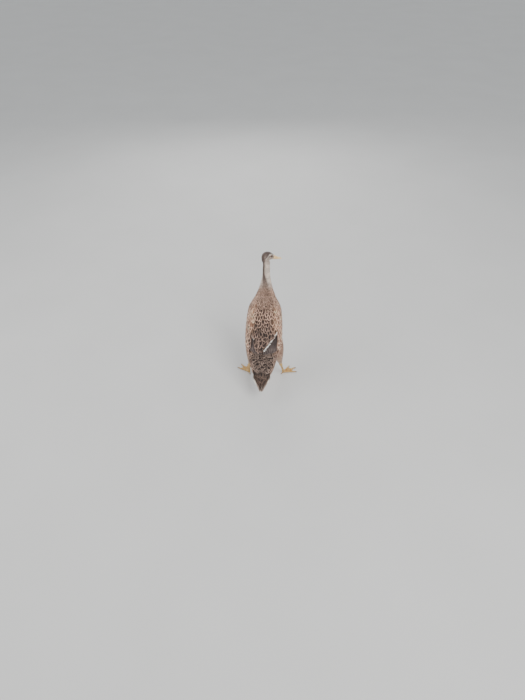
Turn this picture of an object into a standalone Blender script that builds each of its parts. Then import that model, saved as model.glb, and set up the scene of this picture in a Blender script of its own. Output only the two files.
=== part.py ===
"""An Indian Runner duck, life size, standing with its head turned to its right.

Metres, +Z up. The duck faces -Y, so its left side is at +X. The origin is on the floor,
under the middle of its bounding box.
"""

import math
from collections import namedtuple

import bmesh
import bpy
import numpy as np
from mathutils import Matrix, Vector

# Driving dimensions
GAP = 0.0003
RING_POINTS = 28
TORSO_RINGS = 22
NECK_RINGS = 9
WING_CLEARANCE = 0.0018
WING_THICKNESS = 0.0060
EYE_RADIUS = 0.0049
HEAD_YAW = math.radians(-43.0)
HEAD_PITCH = math.radians(-24.0)
SKULL_FORWARD = 0.1130
SKULL_ASIDE = 0.0040
SKULL_HEIGHT = 0.4705
HEAD_SIZE = 0.875
VANE_EDGE = 0.0006
VANE_SHAFT = 0.0009

# The body's axis runs from the tail up to the skull, in the plane of symmetry. Each station
# gives how far forward and how high it is, then the plumage's half width and its depth from
# the axis to the back and to the belly.
Station = namedtuple("Station", "name forward height half_width back belly")
STATIONS = (
    Station("tail root", -0.1320, 0.1135, 0.0380, 0.0160, 0.0200),
    Station("rump", -0.1050, 0.1360, 0.0500, 0.0250, 0.0350),
    Station("vent", -0.0787, 0.1662, 0.0565, 0.0340, 0.0480),
    Station("hip", -0.0493, 0.2002, 0.0585, 0.0405, 0.0600),
    Station("belly", -0.0198, 0.2341, 0.0590, 0.0440, 0.0680),
    Station("breast", 0.0096, 0.2681, 0.0560, 0.0440, 0.0690),
    Station("shoulder", 0.0392, 0.3021, 0.0488, 0.0410, 0.0610),
    Station("neck root", 0.0650, 0.3315, 0.0370, 0.0340, 0.0450),
    Station("neck low", 0.0860, 0.3620, 0.0235, 0.0240, 0.0290),
    Station("neck middle", 0.0975, 0.3980, 0.0153, 0.0160, 0.0170),
    Station("nape", 0.1010, 0.4300, 0.0143, 0.0150, 0.0150),
    Station("skull", 0.1020, 0.4520, 0.0128, 0.0135, 0.0130),
)


def along(keys, values, at):
    """A smooth curve through values at keys, read at one place or at several."""
    keys, values = np.asarray(keys, float), np.asarray(values, float)
    at = np.clip(np.atleast_1d(np.asarray(at, float)), keys[0], keys[-1])
    steps = np.diff(keys)
    slopes = np.diff(values, axis=0) / steps[:, None]
    inner = (slopes[:-1] * steps[1:, None] + slopes[1:] * steps[:-1, None]) / (
        steps[1:, None] + steps[:-1, None]
    )
    tangents = np.vstack([slopes[:1], inner, slopes[-1:]])
    i = np.clip(np.searchsorted(keys, at, side="right") - 1, 0, len(steps) - 1)
    width = steps[i][:, None]
    u = ((at - keys[i])[:, None]) / width
    return (
        values[i] * (2 * u**3 - 3 * u**2 + 1)
        + tangents[i] * width * (u**3 - 2 * u**2 + u)
        + values[i + 1] * (3 * u**2 - 2 * u**3)
        + tangents[i + 1] * width * (u**3 - u**2)
    )


class Body:
    """The plumage's outer surface, without the wings, by distance along the axis and angle from the back."""

    def __init__(self):
        places = np.array([(s.forward, s.height) for s in STATIONS])
        lengths = np.linalg.norm(np.diff(places, axis=0), axis=1)
        self.keys = np.concatenate([[0.0], np.cumsum(lengths)])
        self.places = places
        self.sizes = np.array([(s.half_width, s.back, s.belly) for s in STATIONS])
        self.at = {s.name: float(k) for s, k in zip(STATIONS, self.keys)}

    def axis(self, t):
        """The point on the axis, its direction towards the head, and the direction to the back."""
        step = 0.0005
        here = along(self.keys, self.places, t)[0]
        ahead = along(self.keys, self.places, t + step)[0]
        behind = along(self.keys, self.places, t - step)[0]
        run = (ahead - behind) / np.linalg.norm(ahead - behind)
        point = np.array([0.0, -here[0], here[1]])
        direction = np.array([0.0, -run[0], run[1]])
        back = np.array([0.0, run[1], run[0]])
        return point, direction, back

    def point(self, t, angle, height=0.0):
        """angle is 0 along the back and grows towards the duck's left, in radians."""
        place, _, back = self.axis(t)
        half_width, upper, lower = along(self.keys, self.sizes, t)[0] + height
        depth = upper if math.cos(angle) > 0 else lower
        return (
            place
            + np.array([half_width * math.sin(angle), 0.0, 0.0])
            + back * depth * math.cos(angle)
        )

    def normal(self, t, angle):
        step_t, step_angle = 0.002, 0.04
        run = self.point(t + step_t, angle) - self.point(t - step_t, angle)
        side = self.point(t, angle + step_angle) - self.point(t, angle - step_angle)
        out = np.cross(run, side)
        out /= np.linalg.norm(out)
        middle = self.axis(t)[0]
        return out if out @ (self.point(t, angle) - middle) > 0 else -out

    def shifted(self, t, angle, offset):
        """The place on the surface reached by going sideways from (t, angle) by a short offset vector."""
        step = 0.001
        run = (self.point(t + step, angle) - self.point(t - step, angle)) / (2 * step)
        side = (self.point(t, angle + step) - self.point(t, angle - step)) / (2 * step)
        solved = np.linalg.lstsq(np.column_stack([run, side]), offset, rcond=None)[0]
        return t + solved[0], angle + solved[1]

    def ring(self, t, height=0.0, shift=0.0):
        _, direction, _ = self.axis(t)
        turns = np.linspace(0, 2 * math.pi, RING_POINTS, endpoint=False)
        return [self.point(t, a, height) + direction * shift for a in turns]


BODY = Body()


# Scene and mesh helpers
def clear_scene():
    for obj in list(bpy.data.objects):
        bpy.data.objects.remove(obj, do_unlink=True)


def new_collection(name):
    collection = bpy.data.collections.new(name)
    bpy.context.scene.collection.children.link(collection)
    return collection


def new_material(name, colour, roughness):
    material = bpy.data.materials.new(name)
    material.use_nodes = True
    shader = material.node_tree.nodes["Principled BSDF"]
    shader.inputs["Base Color"].default_value = (*colour, 1.0)
    shader.inputs["Roughness"].default_value = roughness
    shader.inputs["Metallic"].default_value = 0.0
    material.diffuse_color = (*colour, 1.0)
    return material


def mesh_object(name, points, faces, collection):
    mesh = bpy.data.meshes.new(name)
    mesh.from_pydata([tuple(map(float, p)) for p in points], [], faces)
    mesh.update()
    obj = bpy.data.objects.new(name, mesh)
    collection.objects.link(obj)
    return obj


def face_outwards(obj):
    """Merges points that coincide and turns every face outwards."""
    shape = bmesh.new()
    shape.from_mesh(obj.data)
    bmesh.ops.remove_doubles(shape, verts=shape.verts, dist=0.00001)
    bmesh.ops.recalc_face_normals(shape, faces=shape.faces)
    shape.to_mesh(obj.data)
    shape.free()
    return obj


def loft(name, rings, collection):
    """A closed skin through rings of equally many points, with flat ends."""
    count = len(rings[0])
    points = [p for ring in rings for p in ring]
    faces = [tuple(range(count)), tuple(range(len(points) - count, len(points)))]
    for r in range(len(rings) - 1):
        for i in range(count):
            j = (i + 1) % count
            low, high = r * count, (r + 1) * count
            faces.append((low + i, low + j, high + j, high + i))
    return face_outwards(mesh_object(name, points, faces, collection))


def ellipsoid(name, centre, radii, collection, segments=20, rings=12, turn=None):
    """A UV sphere stretched to radii, turned by a matrix and set at centre."""
    shape = bmesh.new()
    bmesh.ops.create_uvsphere(shape, u_segments=segments, v_segments=rings, radius=1.0)
    bmesh.ops.scale(shape, vec=Vector(radii), verts=shape.verts)
    if turn is not None:
        bmesh.ops.transform(shape, matrix=turn, verts=shape.verts)
    bmesh.ops.translate(shape, vec=Vector(centre), verts=shape.verts)
    mesh = bpy.data.meshes.new(name)
    shape.to_mesh(mesh)
    shape.free()
    obj = bpy.data.objects.new(name, mesh)
    collection.objects.link(obj)
    return obj


def tube(name, points, radii, collection, sides=3):
    """A tapering round limb along points, made from a bevelled curve with filled ends."""
    curve = bpy.data.curves.new(name, "CURVE")
    curve.dimensions = "3D"
    curve.bevel_depth = 1.0
    curve.bevel_resolution = sides
    curve.use_fill_caps = True
    spline = curve.splines.new("POLY")
    spline.points.add(len(points) - 1)
    for place, point, radius in zip(spline.points, points, radii):
        place.co = (*map(float, point), 1.0)
        place.radius = float(radius)
    guide = bpy.data.objects.new(name, curve)
    collection.objects.link(guide)
    bpy.context.view_layer.update()
    graph = bpy.context.evaluated_depsgraph_get()
    mesh = bpy.data.meshes.new_from_object(guide.evaluated_get(graph))
    bpy.data.objects.remove(guide)
    obj = bpy.data.objects.new(name, mesh)
    collection.objects.link(obj)
    return face_outwards(obj)


def applied(obj):
    """Replaces the object's mesh by what its modifiers make of it."""
    bpy.context.view_layer.update()
    graph = bpy.context.evaluated_depsgraph_get()
    mesh = bpy.data.meshes.new_from_object(obj.evaluated_get(graph))
    obj.modifiers.clear()
    obj.data = mesh
    return obj


def keep_largest_surface(obj):
    """Leaves only the closed surface with the most volume."""
    shape = bmesh.new()
    shape.from_mesh(obj.data)
    unseen, best, best_volume = set(shape.faces), None, -1.0
    while unseen:
        island, todo = set(), [next(iter(unseen))]
        while todo:
            face = todo.pop()
            if face in island:
                continue
            island.add(face)
            todo += [f for e in face.edges for f in e.link_faces if f not in island]
        unseen -= island
        volume = sum(
            f.calc_center_median().dot(f.normal) * f.calc_area() for f in island
        )
        if volume > best_volume:
            best, best_volume = island, volume
    loose = [f for f in shape.faces if f not in best]
    bmesh.ops.delete(shape, geom=loose, context="FACES")
    shape.to_mesh(obj.data)
    shape.free()
    return obj


def combine(obj, pieces, operation, solver="EXACT"):
    """Joins or cuts obj by a collection of closed pieces, which are then removed."""
    group = new_collection(obj.name + " pieces")
    for piece in pieces:
        for owner in list(piece.users_collection):
            owner.objects.unlink(piece)
        group.objects.link(piece)
    modifier = obj.modifiers.new("Combine", "BOOLEAN")
    modifier.operation = operation
    modifier.solver = solver
    modifier.operand_type = "COLLECTION"
    modifier.collection = group
    applied(obj)
    for piece in pieces:
        bpy.data.objects.remove(piece)
    bpy.data.collections.remove(group)
    return keep_largest_surface(obj)


# Feathers that the solids carry
Vane = namedtuple("Vane", "root tip half_width root_lift tip_level pointed")
VANE_STEPS = (0.0, 0.3, 0.6, 0.86, 1.0)
ROUND_WIDTHS = (0.50, 0.84, 1.0, 0.86, 0.30)
POINTED_WIDTHS = (0.50, 0.92, 1.0, 0.66, 0.16)


def vane_faces(steps):
    """Six points to a step: three above and three below, with like diagonals on both faces."""
    faces = [(0, 1, 4, 5), (1, 2, 3, 4)]
    for k in range(steps - 1):
        a, b = 6 * k, 6 * (k + 1)
        for i, j in ((0, 1), (1, 2)):
            faces += [(a + i, b + i, b + j), (a + i, b + j, a + j)]
            under_i, under_j = 5 - i, 5 - j
            faces += [
                (a + under_i, b + under_j, b + under_i),
                (a + under_i, a + under_j, b + under_j),
            ]
        for i, j in ((2, 3), (5, 0)):
            faces += [(a + i, b + i, b + j), (a + i, b + j, a + j)]
    end = 6 * (steps - 1)
    faces += [(end + 5, end + 4, end + 1, end), (end + 4, end + 3, end + 2, end + 1)]
    return faces


def vane_object(name, rows, collection):
    """rows holds, for each step, the three places across the vane and the direction out of it."""
    points = []
    for left, middle, right, out in rows:
        edge, shaft = out * VANE_EDGE / 2, out * VANE_SHAFT / 2
        points += [left + edge, middle + shaft, right + edge]
        points += [right - edge, middle - shaft, left - edge]
    return face_outwards(mesh_object(name, points, vane_faces(len(rows)), collection))


# Wings
Tier = namedtuple(
    "Tier", "name count outer_root inner_root outer_tip inner_tip half_width level pointed"
)
WING_MIDDLE = (0.203, math.radians(59.0))
WING_REACH = (0.088, math.radians(46.0))
LEAST_ANGLE = math.radians(1.2)
ROOT_SINK = 0.0016
VANE_TILT = 0.0014
VANE_RISE = 0.5
VANE_VARIETY = 0.06
PAD_SEGMENTS, PAD_RINGS = 24, 10
# Roots and tips are (distance along the axis, degrees from the back), and each tier goes
# from the wing's outer edge to the feather nearest the back. Its level is over the torso.
TIERS = (
    Tier("primary", 3, (0.146, 68), (0.136, 52), (0.076, 42), (0.050, 17), 0.0085, 0.0032, True),
    Tier("secondary", 4, (0.172, 76), (0.138, 38), (0.122, 66), (0.064, 10), 0.0108, 0.0064, False),
    Tier("greater covert", 5, (0.204, 82), (0.152, 36), (0.158, 66), (0.084, 7), 0.0070, 0.0098, False),
    Tier("tertial", 3, (0.166, 40), (0.184, 22), (0.112, 23), (0.092, 6), 0.0084, 0.0130, True),
    Tier("median covert", 4, (0.228, 84), (0.196, 44), (0.184, 74), (0.136, 30), 0.0112, 0.0130, False),
    Tier("scapular", 3, (0.224, 44), (0.248, 22), (0.144, 27), (0.158, 7), 0.0122, 0.0162, False),
)


def pad_height(t, angle):
    """How high the folded arm stands over the torso at a place."""
    x = (t - WING_MIDDLE[0]) / WING_REACH[0]
    y = (abs(angle) - WING_MIDDLE[1]) / WING_REACH[1]
    inside = max(0.0, 1.0 - x * x - y * y)
    return WING_CLEARANCE + WING_THICKNESS * math.sqrt(inside)


def wing_pad(name, side, collection):
    """The folded arm: a flattened sphere laid on the torso's flank."""
    shape = bmesh.new()
    bmesh.ops.create_uvsphere(shape, u_segments=PAD_SEGMENTS, v_segments=PAD_RINGS, radius=1.0)
    for vertex in shape.verts:
        x, y, z = vertex.co
        t = WING_MIDDLE[0] + x * WING_REACH[0]
        angle = side * (WING_MIDDLE[1] + y * WING_REACH[1])
        height = WING_CLEARANCE + WING_THICKNESS * max(0.0, z)
        place = BODY.point(t, angle) + BODY.normal(t, angle) * height
        vertex.co = Vector(place)
    mesh = bpy.data.meshes.new(name)
    shape.to_mesh(mesh)
    shape.free()
    obj = bpy.data.objects.new(name, mesh)
    collection.objects.link(obj)
    return face_outwards(obj)


def wing_vane(name, side, vane, collection):
    """A flight feather or covert that lies along the torso, its root sunk in the folded arm."""
    root, tip = np.array(vane.root), np.array(vane.tip)
    widths = POINTED_WIDTHS if vane.pointed else ROUND_WIDTHS
    rows = []
    for u, width in zip(VANE_STEPS, widths):
        t, angle = root + (tip - root) * u
        ahead_t, ahead_angle = root + (tip - root) * (u + 0.02)
        angle, ahead_angle = side * angle, side * ahead_angle
        run = BODY.point(ahead_t, ahead_angle) - BODY.point(t, angle)
        out = BODY.normal(t, angle)
        across = np.cross(run / np.linalg.norm(run), out)
        risen = min(1.0, u / VANE_RISE)
        level = (pad_height(t, angle) + vane.root_lift) * (1.0 - risen) + vane.tip_level * risen
        places = []
        for c in (-1, 0, 1):
            t_side, angle_side = BODY.shifted(t, angle, across * c * width * vane.half_width)
            angle_side = side * max(LEAST_ANGLE, side * angle_side)
            height = max(WING_CLEARANCE, level + side * c * VANE_TILT)
            places.append(
                BODY.point(t_side, angle_side) + BODY.normal(t_side, angle_side) * height
            )
        rows.append((*places, out))
    return vane_object(name, rows, collection)


def tier_vanes(tier):
    """The feathers of one tier, from the outermost to the innermost."""
    for i in range(tier.count):
        share = i / (tier.count - 1)
        ends = []
        for outer, inner in ((tier.outer_root, tier.inner_root), (tier.outer_tip, tier.inner_tip)):
            t = outer[0] + (inner[0] - outer[0]) * share
            angle = math.radians(outer[1] + (inner[1] - outer[1]) * share)
            ends.append((t, angle))
        width = tier.half_width * (1.0 + VANE_VARIETY * math.sin(2.4 * i))
        yield Vane(ends[0], ends[1], width, -ROOT_SINK, tier.level, tier.pointed)


def make_wing(name, side, material, collection):
    wing = wing_pad(name, side, collection)
    vanes = [
        wing_vane(f"{name} {tier.name} {i}", side, vane, collection)
        for tier in TIERS
        for i, vane in enumerate(tier_vanes(tier))
    ]
    combine(wing, vanes, "UNION")
    wing.data.materials.append(material)
    return wing


# Tail
TAIL_PAIRS = 6
COVERT_PAIRS = 3
TAIL_STUB = 0.034
STUB_SHARES = (0.0, 0.3, 0.6, 0.85, 1.0)
STUB_TAPER, STUB_ROUNDING = 0.62, 0.20
MIDDLE_LIFT = 0.0014
TAIL_BEND = 1.25
VANE_BOW = 0.16
# From the outermost pair to the middle one
QUILL_START, QUILL_RISE, QUILL_STEP, QUILL_HALF_WIDTH = 0.008, -0.0046, 0.0015, 0.0070
QUILL_ROOT_SIDES = (0.0290, 0.0050)
QUILL_TIP_SIDES = (0.0150, 0.0040)
QUILL_LENGTHS = (0.0480, 0.0740)
COVERT_START, COVERT_LENGTH, COVERT_STEP, COVERT_HALF_WIDTH = 0.004, 0.0340, 0.0014, 0.0078
COVERT_ROOT_SIDES = (0.0245, 0.0085)
COVERT_TIP_SIDES = (0.0175, 0.0075)
COVERT_GROWTH_ABOVE, COVERT_GROWTH_BELOW = 0.0050, 0.0040
COVERT_RISE_ABOVE, COVERT_RISE_BELOW = 0.0056, -0.0072
Quill = namedtuple("Quill", "root_side tip_side length level half_width tilt")


class TailFrame:
    """Directions at the end of the torso, where the tail is set on."""

    def __init__(self):
        place, direction, back = BODY.axis(0.0)
        self.origin, self.down, self.back = place, -direction, back

    def point(self, side, run, rise):
        droop = TAIL_BEND * run * run
        return (
            self.origin
            + np.array([side, 0.0, 0.0])
            + self.down * run
            + self.back * (rise + droop)
        )


TAIL = TailFrame()


def tail_vane(name, quill, side, start, rise, collection):
    """A tail feather from its root inside the stub to its tip, bowed down at its outer edge."""
    rows = []
    for u, width in zip(VANE_STEPS, POINTED_WIDTHS):
        run = start + (quill.length - start) * u
        middle = side * (quill.root_side + (quill.tip_side - quill.root_side) * u)
        half = quill.half_width * width
        level = rise + quill.level * min(1.0, 0.25 + u)
        places = []
        for c in (-1, 0, 1):
            bow = -VANE_BOW * half if c * side > 0 else 0.0
            slope = -c * side * quill.tilt
            places.append(TAIL.point(middle + c * half, run, level + bow + slope))
        rows.append((*places, TAIL.back))
    return vane_object(name, rows, collection)


def between(ends, share):
    return ends[0] + (ends[1] - ends[0]) * share


def tail_coverts(i):
    """The feather of one covert pair above the tail, and the one below it."""
    share = i / (COVERT_PAIRS - 1)
    sides = between(COVERT_ROOT_SIDES, share), between(COVERT_TIP_SIDES, share)
    step = COVERT_STEP * i
    above = Quill(*sides, COVERT_LENGTH + COVERT_GROWTH_ABOVE * i, step, COVERT_HALF_WIDTH, VANE_TILT)
    below = Quill(*sides, COVERT_LENGTH + COVERT_GROWTH_BELOW * i, -step, COVERT_HALF_WIDTH, -VANE_TILT)
    return above, below


def tail_quills():
    """Pairs from the outermost, lowest and shortest, to the flat middle pair on top."""
    for i in range(TAIL_PAIRS):
        share = i / (TAIL_PAIRS - 1)
        yield Quill(
            root_side=between(QUILL_ROOT_SIDES, share),
            tip_side=between(QUILL_TIP_SIDES, share),
            length=between(QUILL_LENGTHS, share),
            level=QUILL_STEP * i,
            half_width=QUILL_HALF_WIDTH,
            tilt=VANE_TILT * (1.0 - share),
        )


def tail_stub(collection):
    """The fleshy end of the body that the tail feathers grow from."""
    turns = np.linspace(0, 2 * math.pi, RING_POINTS, endpoint=False)
    half_width, upper, lower = BODY.sizes[0]
    rings = []
    for share in STUB_SHARES:
        shrink = 1.0 - STUB_TAPER * share - STUB_ROUNDING * share**4
        ring = []
        for a in turns:
            depth = upper if math.cos(a) > 0 else lower
            side, rise = half_width * shrink * math.sin(a), depth * shrink * math.cos(a)
            ring.append(TAIL.point(side, GAP + share * TAIL_STUB, rise))
        rings.append(ring)
    return loft("tail", rings, collection)


def make_tail(material, collection):
    tail = tail_stub(collection)
    vanes = []
    for i, quill in enumerate(tail_quills()):
        for side in (-1, 1):
            over = MIDDLE_LIFT if side > 0 and quill.tilt == 0.0 else 0.0
            name = f"rectrix {i} {side}"
            vanes.append(tail_vane(name, quill, side, QUILL_START, QUILL_RISE + over, collection))
    for i in range(COVERT_PAIRS):
        above, below = tail_coverts(i)
        for side in (-1, 1):
            name = f"covert {i} {side}"
            vanes.append(tail_vane("upper " + name, above, side, COVERT_START, COVERT_RISE_ABOVE, collection))
            vanes.append(tail_vane("under " + name, below, side, COVERT_START, COVERT_RISE_BELOW, collection))
    combine(tail, vanes, "UNION")
    tail.data.materials.append(material)
    return tail


# Head
HEAD_TURN = Matrix.Rotation(HEAD_YAW, 4, "Z") @ Matrix.Rotation(-HEAD_PITCH, 4, "X")
HEAD_PLACE = Matrix.Translation((-SKULL_ASIDE, -SKULL_FORWARD, SKULL_HEIGHT)) @ HEAD_TURN
Section = namedtuple("Section", "run half_width top bottom")
BILL_ROOT = 0.0285
SKULL = (
    Section(-0.0310, 0.0040, 0.0040, -0.0080),
    Section(-0.0285, 0.0084, 0.0096, -0.0130),
    Section(-0.0220, 0.0124, 0.0150, -0.0170),
    Section(-0.0120, 0.0149, 0.0184, -0.0190),
    Section(0.0000, 0.0156, 0.0192, -0.0182),
    Section(0.0110, 0.0148, 0.0174, -0.0160),
    Section(0.0200, 0.0130, 0.0140, -0.0138),
    Section(BILL_ROOT, 0.0112, 0.0104, -0.0120),
    Section(0.0360, 0.0100, 0.0080, -0.0108),
)
MOUTH = ((BILL_ROOT, -0.0050), (0.0480, -0.0066), (0.0700, -0.0072), (0.0860, -0.0066))
UPPER_BILL = (
    Section(BILL_ROOT, 0.0104, 0.0094, 0.0),
    Section(0.0360, 0.0100, 0.0068, 0.0),
    Section(0.0460, 0.0096, 0.0034, 0.0),
    Section(0.0580, 0.0098, 0.0000, 0.0),
    Section(0.0700, 0.0108, -0.0022, 0.0),
    Section(0.0790, 0.0110, -0.0032, 0.0),
    Section(0.0840, 0.0088, -0.0042, 0.0),
    Section(0.0866, 0.0040, -0.0056, 0.0),
)
LOWER_BILL = (
    Section(BILL_ROOT, 0.0086, 0.0, -0.0112),
    Section(0.0400, 0.0082, 0.0, -0.0112),
    Section(0.0560, 0.0080, 0.0, -0.0106),
    Section(0.0700, 0.0086, 0.0, -0.0098),
    Section(0.0790, 0.0080, 0.0, -0.0090),
    Section(0.0826, 0.0044, 0.0, -0.0082),
)
EYE_RUN, EYE_SIDE, EYE_RISE = 0.0085, 0.0124, 0.0058
LID_SIDE, LID_RADII, LID_TURN = 0.0112, (0.0064, 0.0072, 0.0066), math.radians(12)
THROAT_PLACE, THROAT_RADII = (-0.010, 0.0, -0.013), (0.0150, 0.0170, 0.0160)
NAPE_PLACE, NAPE_RADII = (-0.0125, -0.0020, -0.0160), (0.0125, 0.0125, 0.0165)
NAIL_PLACE, NAIL_RADII = (0.0820, 0.0, -0.0046), (0.0036, 0.0052, 0.0014)
NOSTRIL_PLACE, NOSTRIL_RADII = (0.0415, 0.0078, 0.0026), (0.0022, 0.0036, 0.0013)
LEAST_UPPER_DEPTH = 0.0009
NAPE_OVERLAP, NAPE_RINGS = 0.012, 8
SKULL_POINTS, SKULL_RINGS, SKULL_POWER = 20, 15, 0.92
UPPER_POINTS, UPPER_RINGS, LOWER_POINTS, LOWER_RINGS = 11, 13, 9, 9
BLEND_VOXEL, BLEND_ROUNDS, BLEND_KEPT = 0.0018, 9, 0.14


def mouth_rise(run):
    runs, rises = zip(*MOUTH)
    return float(np.interp(run, runs, rises))


def head_point(run, side, rise):
    """Head coordinates, before HEAD_SIZE: along the bill, to the duck's left, and up."""
    return HEAD_PLACE @ (Vector((side, -run, rise)) * HEAD_SIZE)


def head_radii(radii):
    return tuple(r * HEAD_SIZE for r in radii)


def skull_ring(section):
    middle = (section.top + section.bottom) / 2
    half = (section.top - section.bottom) / 2
    ring = []
    for a in np.linspace(0, 2 * math.pi, SKULL_POINTS, endpoint=False):
        side = section.half_width * math.copysign(abs(math.sin(a)) ** SKULL_POWER, math.sin(a))
        rise = middle + half * math.copysign(abs(math.cos(a)) ** SKULL_POWER, math.cos(a))
        ring.append(head_point(section.run, side, rise))
    return ring


def smooth_sections(sections, count):
    values = [(s.half_width, s.top, s.bottom) for s in sections]
    keys = [s.run for s in sections]
    runs = np.linspace(keys[0], keys[-1], count)
    return [Section(r, *along(keys, values, r)[0]) for r in runs]


def upper_ring(section):
    """A domed section that is flat along the mouth."""
    low = mouth_rise(section.run) + GAP / HEAD_SIZE
    high = max(section.top, low + LEAST_UPPER_DEPTH)
    ring = []
    for a in np.linspace(0, math.pi, UPPER_POINTS):
        side = section.half_width * math.copysign(abs(math.cos(a)) ** 0.85, math.cos(a))
        ring.append(head_point(section.run, side, low + (high - low) * math.sin(a) ** 0.9))
    return ring + [head_point(section.run, 0.0, low)]


def lower_ring(section):
    high = mouth_rise(section.run)
    ring = []
    for a in np.linspace(0, math.pi, LOWER_POINTS):
        side = section.half_width * math.cos(a)
        ring.append(head_point(section.run, side, high + (section.bottom - high) * math.sin(a) ** 0.8))
    return ring + [head_point(section.run, 0.0, high)]


def half_space(name, place, direction, size, collection):
    """A block that fills the side of a plane that direction points to."""
    shape = bmesh.new()
    bmesh.ops.create_cube(shape, size=size)
    bmesh.ops.translate(shape, vec=Vector((0, 0, size / 2)), verts=shape.verts)
    turn = Vector(direction).to_track_quat("Z", "Y").to_matrix().to_4x4()
    bmesh.ops.transform(shape, matrix=Matrix.Translation(Vector(place)) @ turn, verts=shape.verts)
    mesh = bpy.data.meshes.new(name)
    shape.to_mesh(mesh)
    shape.free()
    obj = bpy.data.objects.new(name, mesh)
    collection.objects.link(obj)
    return obj


def blended_head(collection):
    """Skull, throat and the top of the neck as one smooth form."""
    head = loft("head", [skull_ring(r) for r in smooth_sections(SKULL, SKULL_RINGS)], collection)
    nape = np.linspace(BODY.at["nape"] - NAPE_OVERLAP, BODY.at["skull"], NAPE_RINGS)
    neck = loft("nape", [BODY.ring(t) for t in nape], collection)
    throat = ellipsoid("throat", head_point(*THROAT_PLACE), head_radii(THROAT_RADII), collection)
    behind = ellipsoid("behind", head_point(*NAPE_PLACE), head_radii(NAPE_RADII), collection)
    combine(head, [neck, throat, behind], "UNION")
    remesh = head.modifiers.new("Blend", "REMESH")
    remesh.mode = "VOXEL"
    remesh.voxel_size = BLEND_VOXEL
    soften = head.modifiers.new("Soften", "SMOOTH")
    soften.factor, soften.iterations = 0.5, BLEND_ROUNDS
    thin = head.modifiers.new("Thin", "DECIMATE")
    thin.ratio = BLEND_KEPT
    return applied(head)


def eyelids(side, collection):
    centre = head_point(EYE_RUN, side * LID_SIDE, EYE_RISE)
    turn = (HEAD_TURN @ Matrix.Rotation(side * LID_TURN, 4, "Z")).to_3x3().to_4x4()
    return ellipsoid(f"lids {side}", centre, head_radii(LID_RADII), collection, 16, 10, turn)


def make_head(material, collection, cutters):
    """The head, with a socket and lids for each eye, cut flat at the neck and at the bill."""
    head = blended_head(collection)
    combine(head, [eyelids(side, collection) for side in (-1, 1)], "UNION")
    sockets = [
        ellipsoid(f"socket {side}", head_point(EYE_RUN, side * EYE_SIDE, EYE_RISE),
                  (EYE_RADIUS + GAP,) * 3, cutters, 20, 14)
        for side in (-1, 1)
    ]
    place, direction, _ = BODY.axis(BODY.at["nape"])
    below = half_space("below the nape", place + direction * GAP, -direction, 0.2, cutters)
    forward = head_point(1.0, 0, 0) - head_point(0.0, 0, 0)
    face = head_point(BILL_ROOT - GAP / HEAD_SIZE, 0, 0)
    before = half_space("before the face", face, forward, 0.1, cutters)
    combine(head, sockets + [below, before], "DIFFERENCE")
    head.data.materials.append(material)
    return head


def make_eyes(material, collection):
    for name, side in (("eye_right", -1), ("eye_left", 1)):
        centre = head_point(EYE_RUN, side * EYE_SIDE, EYE_RISE)
        eye = ellipsoid(name, centre, (EYE_RADIUS,) * 3, collection, 14, 10)
        eye.data.materials.append(material)


def make_bill(material, collection, cutters):
    """The upper half with its nostrils and nail, and the lower half under the line of the mouth."""
    turn = HEAD_TURN.to_3x3().to_4x4()
    upper = loft("bill_upper", [upper_ring(r) for r in smooth_sections(UPPER_BILL, UPPER_RINGS)], collection)
    nail = ellipsoid("nail", head_point(*NAIL_PLACE), head_radii(NAIL_RADII), collection, 12, 8, turn)
    combine(upper, [nail], "UNION")
    run, aside, rise = NOSTRIL_PLACE
    nostrils = [
        ellipsoid(f"nostril {side}", head_point(run, side * aside, rise), head_radii(NOSTRIL_RADII),
                  cutters, 12, 8, turn)
        for side in (-1, 1)
    ]
    combine(upper, nostrils, "DIFFERENCE")
    lower = loft("bill_lower", [lower_ring(r) for r in smooth_sections(LOWER_BILL, LOWER_RINGS)], collection)
    upper.data.materials.append(material)
    lower.data.materials.append(material)


# Legs and feet
Leg = namedtuple("Leg", "name side knee hock ankle heading")
LEGS = (
    Leg("right", -1, (-0.0300, 0.0220, 0.2250), (-0.0660, 0.0350, 0.0780), (-0.0770, 0.0110, 0.0150), 58.0),
    Leg("left", 1, (0.0280, 0.0220, 0.2250), (0.0540, 0.0420, 0.0780), (0.0600, 0.0190, 0.0150), 40.0),
)
Toe = namedtuple("Toe", "name turn length radius")
TOES = (
    Toe("inner", 27.0, 0.0400, 0.0030),
    Toe("middle", 0.0, 0.0530, 0.0032),
    Toe("outer", -25.0, 0.0500, 0.0030),
    Toe("hind", 196.0, 0.0125, 0.0020),
)
# How far down the limb, and how thick it is there
THIGH = ((0.0, 0.026), (0.2, 0.031), (0.42, 0.031), (0.62, 0.0260), (0.8, 0.0178), (0.92, 0.0118), (1.0, 0.0082))
SHANK_SHARES = (0.12, 0.3, 0.6, 0.85, 1.0)
SHANK_RADII = (0.0062, 0.0068, 0.0060, 0.0044, 0.0038, 0.0044, 0.0050)
ANKLE_RADII = (0.0050, 0.0054, 0.0056)
JOINT_LENGTH, HEEL_AHEAD, HEEL_HEIGHT = 0.005, 0.010, 0.0045
TOE_SHARES = (0.0, 0.3, 0.62, 0.8, 1.0)
TOE_WIDTHS = (1.25, 1.0, 0.98, 0.82, 0.62)
TOE_HEIGHT, TOE_FALL = 1.05, 0.42
CLAW_LENGTH, HIND_CLAW_LENGTH = 0.0065, 0.0040
CLAW_HEIGHT, HIND_CLAW_HEIGHT, CLAW_FALL = 0.0021, 0.0018, 0.0010
CLAW_RADII = (0.0016, 0.0011, 0.0003)
WEB_THICKNESS, WEB_REACH, WEB_SCALLOP = 0.0016, 0.93, 0.20


def unit(vector):
    return vector / np.linalg.norm(vector)


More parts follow.
